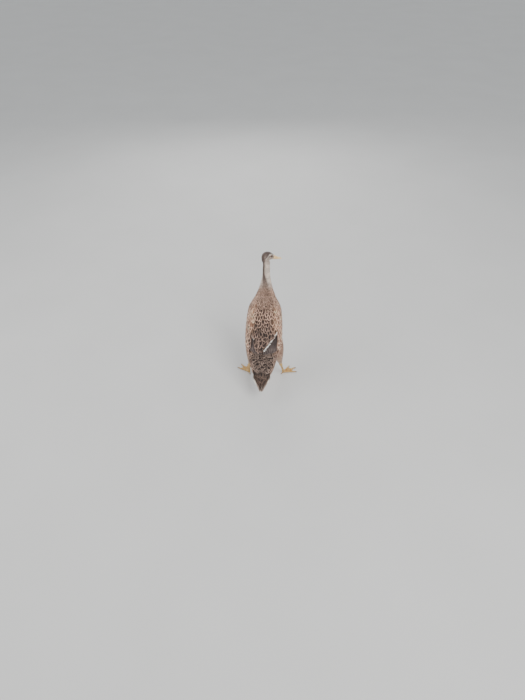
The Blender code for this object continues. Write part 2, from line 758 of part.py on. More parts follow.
def make_thigh(leg, material, collection, cutters):
    """The feathered drumstick, cut clear of the torso."""
    knee, hock = np.array(leg.knee), np.array(leg.hock)
    name = f"thigh_{leg.name}"
    thigh = tube(name, [knee + (hock - knee) * u for u, _ in THIGH], [r for _, r in THIGH], collection, 6)
    torso = loft("torso space", [BODY.ring(t, GAP) for t in torso_places()], cutters)
    combine(thigh, [torso], "DIFFERENCE")
    thigh.data.materials.append(material)


def make_shank(leg, material, collection):
    """The bare leg from the hock's joint to the top of the foot."""
    knee, hock, ankle = (np.array(p) for p in (leg.knee, leg.hock, leg.ankle))
    start = hock + unit(hock - knee) * GAP
    joint = start + unit(hock - knee) * JOINT_LENGTH
    points = [start, joint] + [joint + (ankle - joint) * u for u in SHANK_SHARES]
    shank = tube(f"shank_{leg.name}", points, SHANK_RADII, collection, 4)
    shank.data.materials.append(material)
    return unit(ankle - joint)


def toe_direction(leg, toe):
    """Toes are turned from straight ahead, towards the duck's own side for the outer toe."""
    angle = math.radians(leg.heading - toe.turn) * leg.side
    return np.array([math.sin(angle), -math.cos(angle), 0.0])


def make_foot(leg, run, material, collection, cutters):
    """Three webbed toes and a short hind toe, flat on the floor, with an ankle that meets the shank."""
    top = np.array(leg.ankle) + run * GAP
    heel = np.array([*(top[:2] + run[:2] * HEEL_AHEAD), 0.0])
    ankle = [top, top + run * JOINT_LENGTH, heel + (0, 0, HEEL_HEIGHT)]
    foot = tube(f"foot_{leg.name}", ankle, ANKLE_RADII, collection, 4)
    pieces, tips = [], []
    for toe in TOES:
        way = toe_direction(leg, toe) * toe.length
        tips.append(heel + way)
        places = [heel + way * u + (0, 0, toe.radius * (TOE_HEIGHT - TOE_FALL * u)) for u in TOE_SHARES]
        pieces.append(tube(f"toe {toe.name}", places, [toe.radius * w for w in TOE_WIDTHS], collection, 2))
    pieces.append(make_web(heel, tips[:3], collection))
    combine(foot, pieces, "UNION", "MANIFOLD")
    floor = half_space("floor", (*heel[:2], 0.0), (0, 0, -1), 0.3, cutters)
    combine(foot, [floor], "DIFFERENCE", "MANIFOLD")
    foot.data.materials.append(material)
    return heel


def make_claws(leg, heel, material, collection):
    for toe in TOES:
        hind = toe.name == "hind"
        way = toe_direction(leg, toe)
        start = heel + way * (toe.length + GAP) + (0, 0, HIND_CLAW_HEIGHT if hind else CLAW_HEIGHT)
        length = HIND_CLAW_LENGTH if hind else CLAW_LENGTH
        places = [start + way * length * u + (0, 0, -CLAW_FALL * u) for u in (0.0, 0.5, 1.0)]
        claw = tube(f"claw_{leg.name}_{toe.name}", places, CLAW_RADII, collection, 2)
        claw.data.materials.append(material)


def make_web(heel, tips, collection):
    """A skin between the three front toes, scalloped at its front edge."""
    outline = [heel]
    for start, end in ((tips[0], tips[1]), (tips[1], tips[2])):
        for u in (0.0, 0.25, 0.5, 0.75):
            edge = start + (end - start) * u
            outline.append(heel + (edge - heel) * (WEB_REACH - WEB_SCALLOP * math.sin(math.pi * u)))
    outline.append(heel + (tips[2] - heel) * WEB_REACH)
    count = len(outline)
    low = [(p[0], p[1], -0.001) for p in outline]
    high = [(p[0], p[1], WEB_THICKNESS) for p in outline]
    faces = [tuple(range(count)), tuple(range(count, 2 * count))]
    faces += [(i, (i + 1) % count, count + (i + 1) % count, count + i) for i in range(count)]
    return face_outwards(mesh_object("web", low + high, faces, collection))


# Torso and neck
def torso_places():
    return np.linspace(0.0, BODY.at["neck low"], TORSO_RINGS)


def make_torso(material, collection):
    torso = loft("torso", [BODY.ring(t) for t in torso_places()], collection)
    torso.data.materials.append(material)


def make_neck(material, collection):
    low, high = BODY.at["neck low"] + GAP, BODY.at["nape"]
    rings = [BODY.ring(t) for t in np.linspace(low, high, NECK_RINGS)]
    neck = loft("neck", rings, collection)
    neck.data.materials.append(material)


def centre_on_floor(collection):
    """Moves every part so that the origin is under the middle of the whole."""
    points = np.array([v.co[:] for obj in collection.objects for v in obj.data.vertices])
    low, high = points.min(axis=0), points.max(axis=0)
    shift = Vector((-(low[0] + high[0]) / 2, -(low[1] + high[1]) / 2, -low[2]))
    for obj in collection.objects:
        obj.data.transform(Matrix.Translation(shift))


def main():
    clear_scene()
    collection = new_collection("Indian Runner duck")
    cutters = new_collection("Cutters")
    plumage = new_material("plumage", (0.25, 0.16, 0.12), 0.75)
    wing_plumage = new_material("wing plumage", (0.13, 0.09, 0.08), 0.7)
    bill_horn = new_material("bill horn", (0.62, 0.47, 0.25), 0.4)
    leg_skin = new_material("leg skin", (0.62, 0.36, 0.14), 0.5)
    eye_dark = new_material("eye", (0.02, 0.012, 0.008), 0.05)
    claw_horn = new_material("claw horn", (0.20, 0.14, 0.09), 0.45)
    make_torso(plumage, collection)
    make_neck(plumage, collection)
    make_head(plumage, collection, cutters)
    make_eyes(eye_dark, collection)
    make_bill(bill_horn, collection, cutters)
    make_wing("wing_right", -1, wing_plumage, collection)
    make_wing("wing_left", 1, wing_plumage, collection)
    make_tail(plumage, collection)
    for leg in LEGS:
        make_thigh(leg, plumage, collection, cutters)
        run = make_shank(leg, leg_skin, collection)
        heel = make_foot(leg, run, leg_skin, collection, cutters)
        make_claws(leg, heel, claw_horn, collection)
    centre_on_floor(collection)


main()
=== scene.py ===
"""Looks for an Indian Runner duck: skin, laced feathers, bill, eyes, legs and webbed feet.

Metres. The duck faces -Y and stands on the floor. Sizes repeat the ones that shape its solids.
"""

import math
from collections import namedtuple

import bmesh
import bpy
import numpy as np
from mathutils import Matrix, Vector
from mathutils.bvhtree import BVHTree


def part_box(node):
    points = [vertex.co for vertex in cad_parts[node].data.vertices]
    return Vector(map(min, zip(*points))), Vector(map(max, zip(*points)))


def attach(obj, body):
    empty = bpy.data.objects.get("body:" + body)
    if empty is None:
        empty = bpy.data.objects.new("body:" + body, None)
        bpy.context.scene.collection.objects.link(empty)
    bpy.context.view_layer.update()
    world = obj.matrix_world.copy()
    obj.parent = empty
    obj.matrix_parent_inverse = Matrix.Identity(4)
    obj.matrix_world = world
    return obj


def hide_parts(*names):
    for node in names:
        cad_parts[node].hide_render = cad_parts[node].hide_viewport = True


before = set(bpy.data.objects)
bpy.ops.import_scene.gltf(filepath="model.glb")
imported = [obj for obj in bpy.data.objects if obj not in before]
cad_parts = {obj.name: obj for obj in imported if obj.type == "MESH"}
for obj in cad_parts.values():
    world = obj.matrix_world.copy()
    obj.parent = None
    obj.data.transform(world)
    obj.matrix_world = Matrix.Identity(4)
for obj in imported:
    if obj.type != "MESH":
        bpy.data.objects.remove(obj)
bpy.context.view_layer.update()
RANDOM = np.random.default_rng(27)

# Body: stations along the axis, from the tail to the skull, as in the solids
Station = namedtuple("Station", "name forward height half_width back belly")
STATIONS = (
    Station("tail root", -0.1320, 0.1135, 0.0380, 0.0160, 0.0200),
    Station("rump", -0.1050, 0.1360, 0.0500, 0.0250, 0.0350),
    Station("vent", -0.0787, 0.1662, 0.0565, 0.0340, 0.0480),
    Station("hip", -0.0493, 0.2002, 0.0585, 0.0405, 0.0600),
    Station("belly", -0.0198, 0.2341, 0.0590, 0.0440, 0.0680),
    Station("breast", 0.0096, 0.2681, 0.0560, 0.0440, 0.0690),
    Station("shoulder", 0.0392, 0.3021, 0.0488, 0.0410, 0.0610),
    Station("neck root", 0.0650, 0.3315, 0.0370, 0.0340, 0.0450),
    Station("neck low", 0.0860, 0.3620, 0.0235, 0.0240, 0.0290),
    Station("neck middle", 0.0975, 0.3980, 0.0153, 0.0160, 0.0170),
    Station("nape", 0.1010, 0.4300, 0.0143, 0.0150, 0.0150),
    Station("skull", 0.1020, 0.4520, 0.0128, 0.0135, 0.0130),
)
EYE_RADIUS = 0.0049
HEAD_SIZE = 0.875
EYE_RUN, EYE_SIDE, EYE_RISE = 0.0085, 0.0124, 0.0058
EYE_SET_IN = 0.0016
HEAD_YAW, HEAD_PITCH = math.radians(-43.0), math.radians(-24.0)
SKULL_ASIDE, SKULL_FORWARD, SKULL_HEIGHT = 0.0040, 0.1130, 0.4705
BILL_ROOT = 0.0285
TAIL_DROOP = 1.25
AXIS_STEPS = 400

# Coat: how deep the skin lies under the plumage, and a feather's patch on the unwrap
SKIN_DEPTH = 0.0030
NECK_DEPTH = 0.0013
HEAD_DEPTH = 0.0008
THIGH_DEPTH = 0.0020
PATCH = 0.003

# Photograph's camera
FOCAL_PIXELS, PICTURE_HEIGHT = 526.0, 700.0
SENSOR = 36.0
CAMERA_HEIGHT, CAMERA_AWAY, CAMERA_ASIDE = 1.5, 1.543, 0.0072
CAMERA_PITCH, CAMERA_TURN = math.radians(42.0), math.radians(4.0)


def along(keys, values, at):
    """A smooth curve through values at keys, read at many places."""
    keys, values = np.asarray(keys, float), np.asarray(values, float)
    at = np.clip(np.atleast_1d(np.asarray(at, float)), keys[0], keys[-1])
    steps = np.diff(keys)
    slopes = np.diff(values, axis=0) / steps[:, None]
    inner = (slopes[:-1] * steps[1:, None] + slopes[1:] * steps[:-1, None]) / (
        steps[1:, None] + steps[:-1, None]
    )
    tangents = np.vstack([slopes[:1], inner, slopes[-1:]])
    i = np.clip(np.searchsorted(keys, at, side="right") - 1, 0, len(steps) - 1)
    width = steps[i][:, None]
    u = ((at - keys[i])[:, None]) / width
    return (
        values[i] * (2 * u**3 - 3 * u**2 + 1)
        + tangents[i] * width * (u**3 - 2 * u**2 + u)
        + values[i + 1] * (3 * u**2 - 2 * u**3)
        + tangents[i + 1] * width * (u**3 - u**2)
    )


def smooth_step(low, high, x):
    """0 below low, 1 above high, and smooth in between."""
    u = np.clip((np.asarray(x, float) - low) / (high - low), 0.0, 1.0)
    return u * u * (3.0 - 2.0 * u)


def around(count):
    """Angles of points evenly spaced round a ring."""
    return np.linspace(0, 2 * math.pi, count, endpoint=False)


def normalised(vectors):
    return vectors / np.maximum(np.linalg.norm(vectors, axis=-1, keepdims=True), 1e-12)


class Body:
    """The plumage's outer surface under the wings, by distance along the axis and angle from the back."""

    def __init__(self):
        self.places = np.array([(s.forward, s.height) for s in STATIONS])
        lengths = np.linalg.norm(np.diff(self.places, axis=0), axis=1)
        self.keys = np.concatenate([[0.0], np.cumsum(lengths)])
        self.sizes = np.array([(s.half_width, s.back, s.belly) for s in STATIONS])
        fine = np.linspace(0.0, self.keys[-1], AXIS_STEPS)
        self.fine, self.fine_axis = fine, self.axis(fine)[0]

    def axis(self, t):
        step = 0.0005
        here = along(self.keys, self.places, t)
        run = normalised(
            along(self.keys, self.places, np.asarray(t) + step)
            - along(self.keys, self.places, np.asarray(t) - step)
        )
        zero = np.zeros(len(here))
        place = np.stack([zero, -here[:, 0], here[:, 1]], axis=1)
        direction = np.stack([zero, -run[:, 0], run[:, 1]], axis=1)
        back = np.stack([zero, run[:, 1], run[:, 0]], axis=1)
        return place, direction, back

    def point(self, t, angle, height=0.0):
        """angle is 0 along the back and grows towards the duck's left, in radians."""
        t, angle, height = np.broadcast_arrays(*map(np.atleast_1d, (t, angle, height)))
        shape = t.shape
        t, angle, height = t.ravel(), angle.ravel(), height.ravel()
        place, _, back = self.axis(t)
        half_width, upper, lower = (along(self.keys, self.sizes, t) + height[:, None]).T
        depth = np.where(np.cos(angle) > 0, upper, lower)
        across = np.zeros_like(place)
        across[:, 0] = half_width * np.sin(angle)
        return (place + across + back * (depth * np.cos(angle))[:, None]).reshape(*shape, 3)

    def tangents(self, t, angle):
        step = 0.001
        run = (self.point(t + step, angle) - self.point(t - step, angle)) / (2 * step)
        side = (self.point(t, angle + step) - self.point(t, angle - step)) / (2 * step)
        return run, side

    def place_of(self, points):
        """Distance along the axis and angle from the back of points near the body."""
        points = np.asarray(points, float)
        gaps = np.linalg.norm(points[:, None, 1:] - self.fine_axis[None, :, 1:], axis=2)
        t = self.fine[gaps.argmin(axis=1)]
        place, _, back = self.axis(t)
        rel = points - place
        return t, np.arctan2(rel[:, 0], np.einsum("ij,ij->i", rel, back))


BODY = Body()
HEAD_TURN = Matrix.Rotation(HEAD_YAW, 4, "Z") @ Matrix.Rotation(-HEAD_PITCH, 4, "X")
HEAD_AXES = np.array(HEAD_TURN.to_3x3())
HEAD_ORIGIN = np.array((-SKULL_ASIDE, -SKULL_FORWARD, SKULL_HEIGHT))
EYE_LOW, EYE_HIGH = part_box("eye_left")
EYE_AT = (np.array(EYE_LOW) + np.array(EYE_HIGH)) / 2


def head_points(run, side, rise):
    """From head coordinates, along the bill, to the duck's left and up, before the shift to the frame."""
    run, side, rise = np.broadcast_arrays(run, side, rise)
    local = np.stack([side, -run, rise], axis=-1).astype(float)
    return local @ HEAD_AXES.T * HEAD_SIZE + HEAD_ORIGIN


def head_ball(place, radii, **sizes):
    return ball(head_points(*place), np.array(radii) * HEAD_SIZE, HEAD_AXES, **sizes)


def head_coordinates(points):
    """The other way round: along the bill, to the duck's left and up."""
    local = (np.asarray(points, float) - HEAD_ORIGIN) @ HEAD_AXES / HEAD_SIZE
    return -local[..., 1], local[..., 0], local[..., 2]


SHIFT = EYE_AT - head_points(EYE_RUN, EYE_SIDE, EYE_RISE)
TAIL_START, TAIL_RUN, TAIL_BACK = (v[0] for v in BODY.axis(np.array([0.0])))


def tail_points(side, run, rise):
    """Side to side, away from the body and up, at the end of the torso."""
    side, run, rise = np.broadcast_arrays(side, run, rise)
    droop = TAIL_DROOP * run * run
    place = TAIL_START - TAIL_RUN * run[..., None] + TAIL_BACK * (rise + droop)[..., None]
    place[..., 0] += side
    return place


# Mesh makers
SOFTEN = 0.5


def new_object(name, points, faces):
    """Points are before the shift; faces is a list of index tuples."""
    mesh = bpy.data.meshes.new(name)
    mesh.from_pydata(np.asarray(points, float) + SHIFT, [], faces)
    mesh.update()
    obj = bpy.data.objects.new(name, mesh)
    bpy.context.scene.collection.objects.link(obj)
    return obj


def smooth(obj, angle):
    """Shades softly, with an edge where faces turn by more than an angle."""
    obj.data.polygons.foreach_set("use_smooth", [True] * len(obj.data.polygons))
    obj.data.set_sharp_from_angle(angle=math.radians(angle))
    return obj


def outward(obj):
    """Turns every face out."""
    shape = bmesh.new()
    shape.from_mesh(obj.data)
    bmesh.ops.recalc_face_normals(shape, faces=shape.faces)
    shape.to_mesh(obj.data)
    shape.free()
    return obj


def apply_modifiers(obj):
    """Keeps the shape that the modifiers give, without them."""
    bpy.context.view_layer.update()
    graph = bpy.context.evaluated_depsgraph_get()
    mesh = bpy.data.meshes.new_from_object(obj.evaluated_get(graph))
    obj.modifiers.clear()
    obj.data = mesh


def tube_mesh(rings):
    """Points and faces of a closed skin through rings of equally many points."""
    rings = np.asarray(rings, float)
    count, sides = rings.shape[:2]
    points = rings.reshape(-1, 3)
    i = np.arange(sides)
    j = (i + 1) % sides
    faces = [tuple(i[::-1]), tuple(i + (count - 1) * sides)]
    for k in range(count - 1):
        low, high = k * sides, (k + 1) * sides
        faces += [tuple(map(int, q)) for q in np.stack([low + i, low + j, high + j, high + i], 1)]
    return points, faces


def closed(name, rings, angle=50.0):
    """A smooth closed piece through rings."""
    return smooth(outward(new_object(name, *tube_mesh(rings))), angle)


def lengthwise(points, radii, sides=18, squash=1.0):
    """Rings round a path: radii across it, and squash times that in height."""
    points = np.asarray(points, float)
    ahead = normalised(np.gradient(points, axis=0))
    up = np.array([0.0, 0.0, 1.0])
    side = normalised(np.cross(ahead, up + 0.001))
    top = np.cross(side, ahead)
    turns = around(sides)
    radii = np.asarray(radii, float)[:, None, None]
    return points[:, None] + radii * (
        side[:, None] * np.cos(turns)[None, :, None]
        + top[:, None] * np.sin(turns)[None, :, None] * squash
    )


def ball(centre, radii, axes=None, sides=24, rings=14):
    """Rings of a ball that is cut off just short of its poles."""
    turns = around(sides)
    pole = math.pi / 2 * 0.98
    rises = np.linspace(-pole, pole, rings)
    shape = np.stack(
        [
            np.cos(rises)[:, None] * np.cos(turns)[None],
            np.cos(rises)[:, None] * np.sin(turns)[None],
            np.sin(rises)[:, None] * np.ones(sides)[None],
        ],
        axis=-1,
    ) * np.asarray(radii)
    if axes is not None:
        shape = shape @ np.asarray(axes).T
    return shape + np.asarray(centre)


def blended(name, shells, voxel, rounds):
    """One closed skin over several closed shells of rings, melted together."""
    points, faces, start = [], [], 0
    for rings in shells:
        shell, sides = tube_mesh(rings)
        points.append(shell)
        faces += [tuple(i + start for i in side) for side in sides]
        start += len(shell)
    obj = outward(new_object(name, np.concatenate(points), faces))
    melt = obj.modifiers.new("Melt", "REMESH")
    melt.mode, melt.voxel_size = "VOXEL", voxel
    soften = obj.modifiers.new("Soften", "SMOOTH")
    soften.factor, soften.iterations = SOFTEN, rounds
    apply_modifiers(obj)
    obj.data.polygons.foreach_set("use_smooth", [True] * len(obj.data.polygons))
    return obj


def read_vectors(items, key):
    """A mesh's own vectors, such as places or normals, as rows."""
    flat = np.empty(len(items) * 3)
    items.foreach_get(key, flat)
    return flat.reshape(-1, 3)


def dress(piece, finish, slot, *replaced):
    """Gives a piece its finish, rides it on the duck, and hides the solids that it stands for. slot is not
    used.
    """
    piece.data.materials.append(finish)
    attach(piece, "root")
    if replaced:
        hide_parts(*replaced)


class Surface:
    """Finds the nearest place and the smoothed direction out of a skin, before the shift."""

    def __init__(self, obj):
        mesh = obj.data
        self.points = read_vectors(mesh.vertices, "co") - SHIFT
        self.faces = [tuple(p.vertices) for p in mesh.polygons]
        normals = read_vectors(mesh.vertices, "normal")
        self.out = normalised(np.array([normals[list(f)].sum(axis=0) for f in self.faces]))
        self.tree = BVHTree.FromPolygons([tuple(p) for p in self.points], self.faces)

    def settle(self, points):
        """The nearest places on the skin, and which way is out there."""
        found = [self.tree.find_nearest(Vector(p)) for p in points]
        places = np.array([f[0][:] for f in found])
        return places, self.out[[f[2] for f in found]]

    def scatter(self, tries, spacing, keep):
        """Random roots with at least spacing(points) between them, where keep(points) is true."""
        corners = np.array([(f[0], f[1], f[2], f[-1]) for f in self.faces])
        a, b, c = (self.points[corners[:, k]] for k in range(3))
        area = np.linalg.norm(np.cross(b - a, c - a), axis=1)
        middle = (a + b + c) / 3
        area = area * keep(middle) / spacing(middle) ** 2
        pick = RANDOM.choice(len(area), tries, p=area / area.sum())
        u, v = RANDOM.random((2, tries, 1))
        roots = a[pick] + (b - a)[pick] * u + (c - a)[pick] * (v - u * 0.5)
        return roots[spaced(roots, spacing(roots))]


def spaced(places, gaps):
    """Picks places in order, leaving out those nearer than their gap to one already picked."""
    cell, taken, chosen = float(gaps.max()), {}, []
    cells = [(x, y, z) for x in (-1, 0, 1) for y in (-1, 0, 1) for z in (-1, 0, 1)]
    for i, (place, gap) in enumerate(zip(places, gaps)):
        key = tuple(np.floor(place / cell).astype(int))
        near = [places[j] for step in cells for j in taken.get(tuple(np.add(key, step)), ())]
        if near and (((np.array(near) - place) ** 2).sum(axis=1) < gap * gap).any():
            continue
        taken.setdefault(key, []).append(i)
        chosen.append(i)
    return chosen


# Vanes' outlines: how far along from the root, and how wide there
ROUND = (
    (0.0, 0.30), (0.15, 0.62), (0.35, 0.88), (0.6, 1.0),
    (0.78, 0.93), (0.9, 0.72), (0.97, 0.42), (1.0, 0.12),
)
POINTED = ((0.0, 0.30), (0.15, 0.70), (0.35, 0.95), (0.6, 1.0), (0.8, 0.76), (0.92, 0.44), (1.0, 0.08))
SLENDER = ((0.0, 0.30), (0.15, 0.66), (0.35, 0.94), (0.6, 1.0), (0.8, 0.82), (0.92, 0.54), (1.0, 0.14))
SQUARE = ((0.0, 0.35), (0.15, 0.72), (0.35, 0.94), (0.6, 1.0), (0.85, 0.98), (0.95, 0.80), (1.0, 0.36))

# How finely a vane is cut along and across, and how thick it is in the middle
Weave = namedtuple("Weave", "steps columns thick")
SMALL = Weave(np.array([0.0, 0.3, 0.6, 0.84, 1.0]), np.array([-1.0, 0.0, 1.0]), 0.00018)
BROAD = Weave(
    np.array([0.0, 0.25, 0.50, 0.70, 0.83, 0.93, 1.0]), np.array([-1.0, -0.55, 0.0, 0.55, 1.0]), 0.00028
)
LONG = Weave(np.linspace(0, 1, 14), np.linspace(-1, 1, 7), 0.0003)
EDGE_THICK = 0.15
VANE_CREASE = 55.0

# How a small feather strays from the coat's lie, bows across, and leaves the skin
STRAY = 0.12
BOW = 0.16
ROOT_SUNK = 0.0008
LIFT_CURVE = 0.8


def outline(shape, u):
    return along([k for k, _ in shape], [[w] for _, w in shape], u)[:, 0]


def volume(points, faces):
    """The room inside a closed mesh: above zero where its faces look out."""
    fans = [(f[0], f[k], f[k + 1]) for f in faces for k in range(1, len(f) - 1)]
    a, b, c = (points[np.array(fans)[:, k]] - points[0] for k in range(3))
    return float(np.einsum("ij,ij->i", a, np.cross(b, c)).sum()) / 6.0


def vane_block(weave):
    """Faces of one closed vane: its sides first, and then its two ends."""
    steps, wide = len(weave.steps), len(weave.columns)
    ring = 2 * wide - 2
    i = np.arange(ring)
    j = (i + 1) % ring
    sides = [
        np.stack([k * ring + i, k * ring + j, (k + 1) * ring + j, (k + 1) * ring + i], 1)
        for k in range(steps - 1)
    ]
    block = [tuple(map(int, side)) for side in np.concatenate(sides)[:, ::-1]]
    below = [0] + [ring - c for c in range(1, wide - 1)] + [wide - 1]
    for base, turn in ((0, 1), ((steps - 1) * ring, -1)):
        for c in range(wide - 1):
            face = [base + c, base + c + 1, base + below[c + 1], base + below[c]]
            block.append(tuple(dict.fromkeys(face))[::turn])
    return block


def repeated_mesh(name, points, block, count):
    """A mesh of count copies of a block of faces, and the point at each of its corners."""
    size = len(points) // count
    corners = np.concatenate([np.array(face) for face in block])
    corners = (corners[None] + (np.arange(count) * size)[:, None]).ravel()
    totals = np.tile(np.array([len(face) for face in block]), count)
    starts = np.concatenate([[0], np.cumsum(totals)[:-1]])
    mesh = bpy.data.meshes.new(name)
    mesh.vertices.add(len(points))
    mesh.vertices.foreach_set("co", (points + SHIFT).ravel())
    mesh.loops.add(len(corners))
    mesh.loops.foreach_set("vertex_index", corners.astype(np.int32))
    mesh.polygons.add(len(totals))
    mesh.polygons.foreach_set("loop_start", starts.astype(np.int32))
    mesh.polygons.foreach_set("use_smooth", np.ones(len(totals), bool))
    mesh.update(calc_edges=True)
    return mesh, corners


def vane_mesh(name, grid, out, weave, looks):
    """Closed thin vanes. grid is (vanes, steps, columns, 3); looks gives each vane's colours."""
    count, columns, wide = len(grid), weave.columns, len(weave.columns)
    profile = (1.0 - columns**2) * (1.0 - EDGE_THICK) + EDGE_THICK
    lift = out[:, :, None] * (weave.thick * profile)[None, None, :, None]
    under = (grid - lift)[:, :, wide - 2 : 0 : -1]
    points = np.concatenate([grid + lift * 0.5, under], axis=2).reshape(count, -1, 3)
    block = vane_block(weave)
    if volume(points[0], block) < 0.0:
        block = [face[::-1] for face in block]
    mesh, corners = repeated_mesh(name, points.reshape(-1, 3), block, count)
    both_sides = np.concatenate([columns, columns[wide - 2 : 0 : -1]])
    local = np.stack(np.meshgrid(weave.steps, both_sides, indexing="ij"), -1).reshape(-1, 2)
    up, across = np.tile(local, (count, 1)).T
    size = points.shape[1]
    bake = np.repeat(looks["unwrap"], size, axis=0) + np.stack([across / 2, up - 0.5], 1) * PATCH
    write_map(mesh, "OFBake", bake[corners])
    write_map(mesh, "Vane", np.stack([across * 0.5 + 0.5, up], 1)[corners])
    for key in ("ink", "rim"):
        write_colours(mesh, key, np.repeat(looks[key], size, axis=0))
    for key in ("lace", "pencil", "band"):
        layer = mesh.attributes.new(key, "FLOAT", "POINT")
        layer.data.foreach_set("value", np.repeat(looks[key], size))
    mesh.validate()
    mesh.set_sharp_from_angle(angle=math.radians(VANE_CREASE))
    obj = bpy.data.objects.new(name, mesh)
    bpy.context.scene.collection.objects.link(obj)
    return obj


def write_colours(mesh, name, colours):
    colours = np.concatenate([colours, np.ones((len(colours), 1))], axis=1)
    layer = mesh.attributes.new(name, "FLOAT_COLOR", "POINT")
    layer.data.foreach_set("color", colours.ravel())


def write_map(mesh, name, values):
    layer = mesh.uv_layers.new(name=name)
    layer.data.foreach_set("uv", np.asarray(values, np.float32).ravel())


def contour_feathers(name, skin, roots, lie, length, width, lift, fine):
    """Small body feathers that start at roots and follow the skin the way lie(points) points."""
    weave, shape = (SMALL, SLENDER) if fine else (BROAD, ROUND)
    here, out = skin.settle(roots)
    stray = RANDOM.normal(0.0, STRAY, len(roots))
    path, outs, aheads = [here], [out], []
    for step in np.diff(weave.steps):
        ahead = lie(here)
        ahead = normalised(ahead - out * np.einsum("ij,ij->i", ahead, out)[:, None])
        side = np.cross(ahead, out)
        ahead = normalised(ahead + side * stray[:, None])
        aheads.append(ahead)
        here, out = skin.settle(here + ahead * (length * step)[:, None])
        path.append(here)
        outs.append(out)
    aheads.append(aheads[-1])
    path, outs, aheads = (np.stack(a, axis=1) for a in (path, outs, aheads))
    outs = normalised(outs + outs.mean(axis=1, keepdims=True))
    sides = normalised(np.cross(aheads, outs))
    half = outline(shape, weave.steps)[None, :, None, None] * (width / 2)[:, None, None, None]
    spread = weave.columns[None, None, :, None]
    rise = (lift + ROOT_SUNK)[:, None] * weave.steps**LIFT_CURVE - ROOT_SUNK
    grid = path[:, :, None] + sides[:, :, None] * half * spread
    grid = grid + outs[:, :, None] * (rise[:, :, None, None] - BOW * half * spread**2)
    looks = markings(*BODY.place_of(path[:, 0]), path[:, 0])
    return vane_mesh(name, grid, outs, weave, looks)


# Markings: colours are given as they look, from 0 to 255, a feather's dark middle first and then its rim
def paint(red, green, blue):
    share = np.array([red, green, blue], float) / 255.0
    return np.where(share < 0.04045, share / 12.92, ((share + 0.055) / 1.055) ** 2.4)


Shade = namedtuple("Shade", "ink rim")


def shade(ink, rim):
    return Shade(paint(*ink), paint(*rim))


BACK = shade((34, 25, 22), (158, 129, 114))
MANTLE = shade((58, 41, 34), (204, 166, 143))
SHOULDER = shade((106, 72, 55), (232, 188, 156))
STREAK = shade((156, 114, 88), (242, 206, 176))
FLANK = shade((128, 89, 70), (240, 201, 174))
LOW_FLANK = shade((110, 78, 62), (204, 168, 145))
BELLY = shade((158, 130, 112), (214, 192, 174))
RUMP = shade((36, 27, 23), (152, 129, 116))
NECK_BASE = shade((96, 72, 60), (182, 150, 130))
HIND_NECK = shade((80, 64, 57), (130, 112, 103))
NECK = shade((206, 187, 171), (240, 227, 213))
CROWN = shade((76, 62, 57), (130, 114, 107))
BROW = shade((222, 208, 194), (248, 238, 226))
CHEEK = shade((168, 148, 134), (216, 201, 188))
EYE_LINE = shade((74, 57, 50), (116, 96, 86))

# Where the neck's pale feathers begin and take over, along the axis
NECK_FROM, NECK_FULL = 0.312, 0.366

# The brow and the dark line through the eye: their heights by how far along the head
BROW_RUNS = (-0.030, -0.024, -0.017, -0.006, 0.0085, 0.0285)
BROW_RISES = (-0.030, -0.014, 0.0010, 0.0096, 0.0125, 0.0058)
LINE_RUNS = (-0.030, -0.012, 0.0085, 0.0285)
LINE_RISES = (-0.0020, 0.0035, 0.0058, 0.0010)
BROW_HALF, LINE_HALF = 0.0022, 0.0017


def blend_shades(weight, low, high):
    """From low to high by a weight for each place."""
    weight = weight[:, None]
    return Shade(*(a * (1.0 - weight) + b * weight for a, b in zip(low, high)))


def bell(x, half):
    return np.exp(-((x / half) ** 2))


def unwrapped(t, angle):
    """Where a place on the body lies on its own unwrap."""
    return np.stack([0.5 + angle / (2 * math.pi) * 0.96, 0.02 + 0.96 * t / BODY.keys[-1]], 1)


def body_colours(t, degrees):
    """Dark along the back, redder at the shoulders, pink-brown on the flanks and pale below."""
    turn = np.abs(degrees)
    breast, base = smooth_step(0.18, 0.26, t), smooth_step(0.252, 0.285, t)
    zones = (
        (smooth_step(0.175, 0.245, t), MANTLE),
        (smooth_step(22, 44, turn) * smooth_step(0.14, 0.21, t), SHOULDER),
        (bell(turn - 45, 5.5) * smooth_step(0.18, 0.21, t) * 0.8, STREAK),
        (smooth_step(47, 66, turn), FLANK),
        (smooth_step(50, 70, turn) * (1.0 - smooth_step(0.10, 0.16, t)), LOW_FLANK),
        (smooth_step(112, 150, turn) * (1.0 - 0.6 * breast), BELLY),
        ((1.0 - smooth_step(0.07, 0.11, t)) * (1.0 - smooth_step(56, 110, turn)), RUMP),
        (base, NECK_BASE),
        (base * smooth_step(24, 60, turn) * 0.6, FLANK),
    )
    coat = BACK
    for weight, zone in zones:
        coat = blend_shades(weight, coat, zone)
    stripe = 4.0 + 50.0 * smooth_step(0.335, 0.400, t)
    hind = 1.0 - smooth_step(14, 48, np.abs(degrees - stripe))
    hind = hind * (0.80 + 0.20 * smooth_step(0.33, 0.375, t))
    neck = smooth_step(NECK_FROM, NECK_FULL, t)
    return blend_shades(neck, coat, blend_shades(hind, NECK, HIND_NECK)), neck


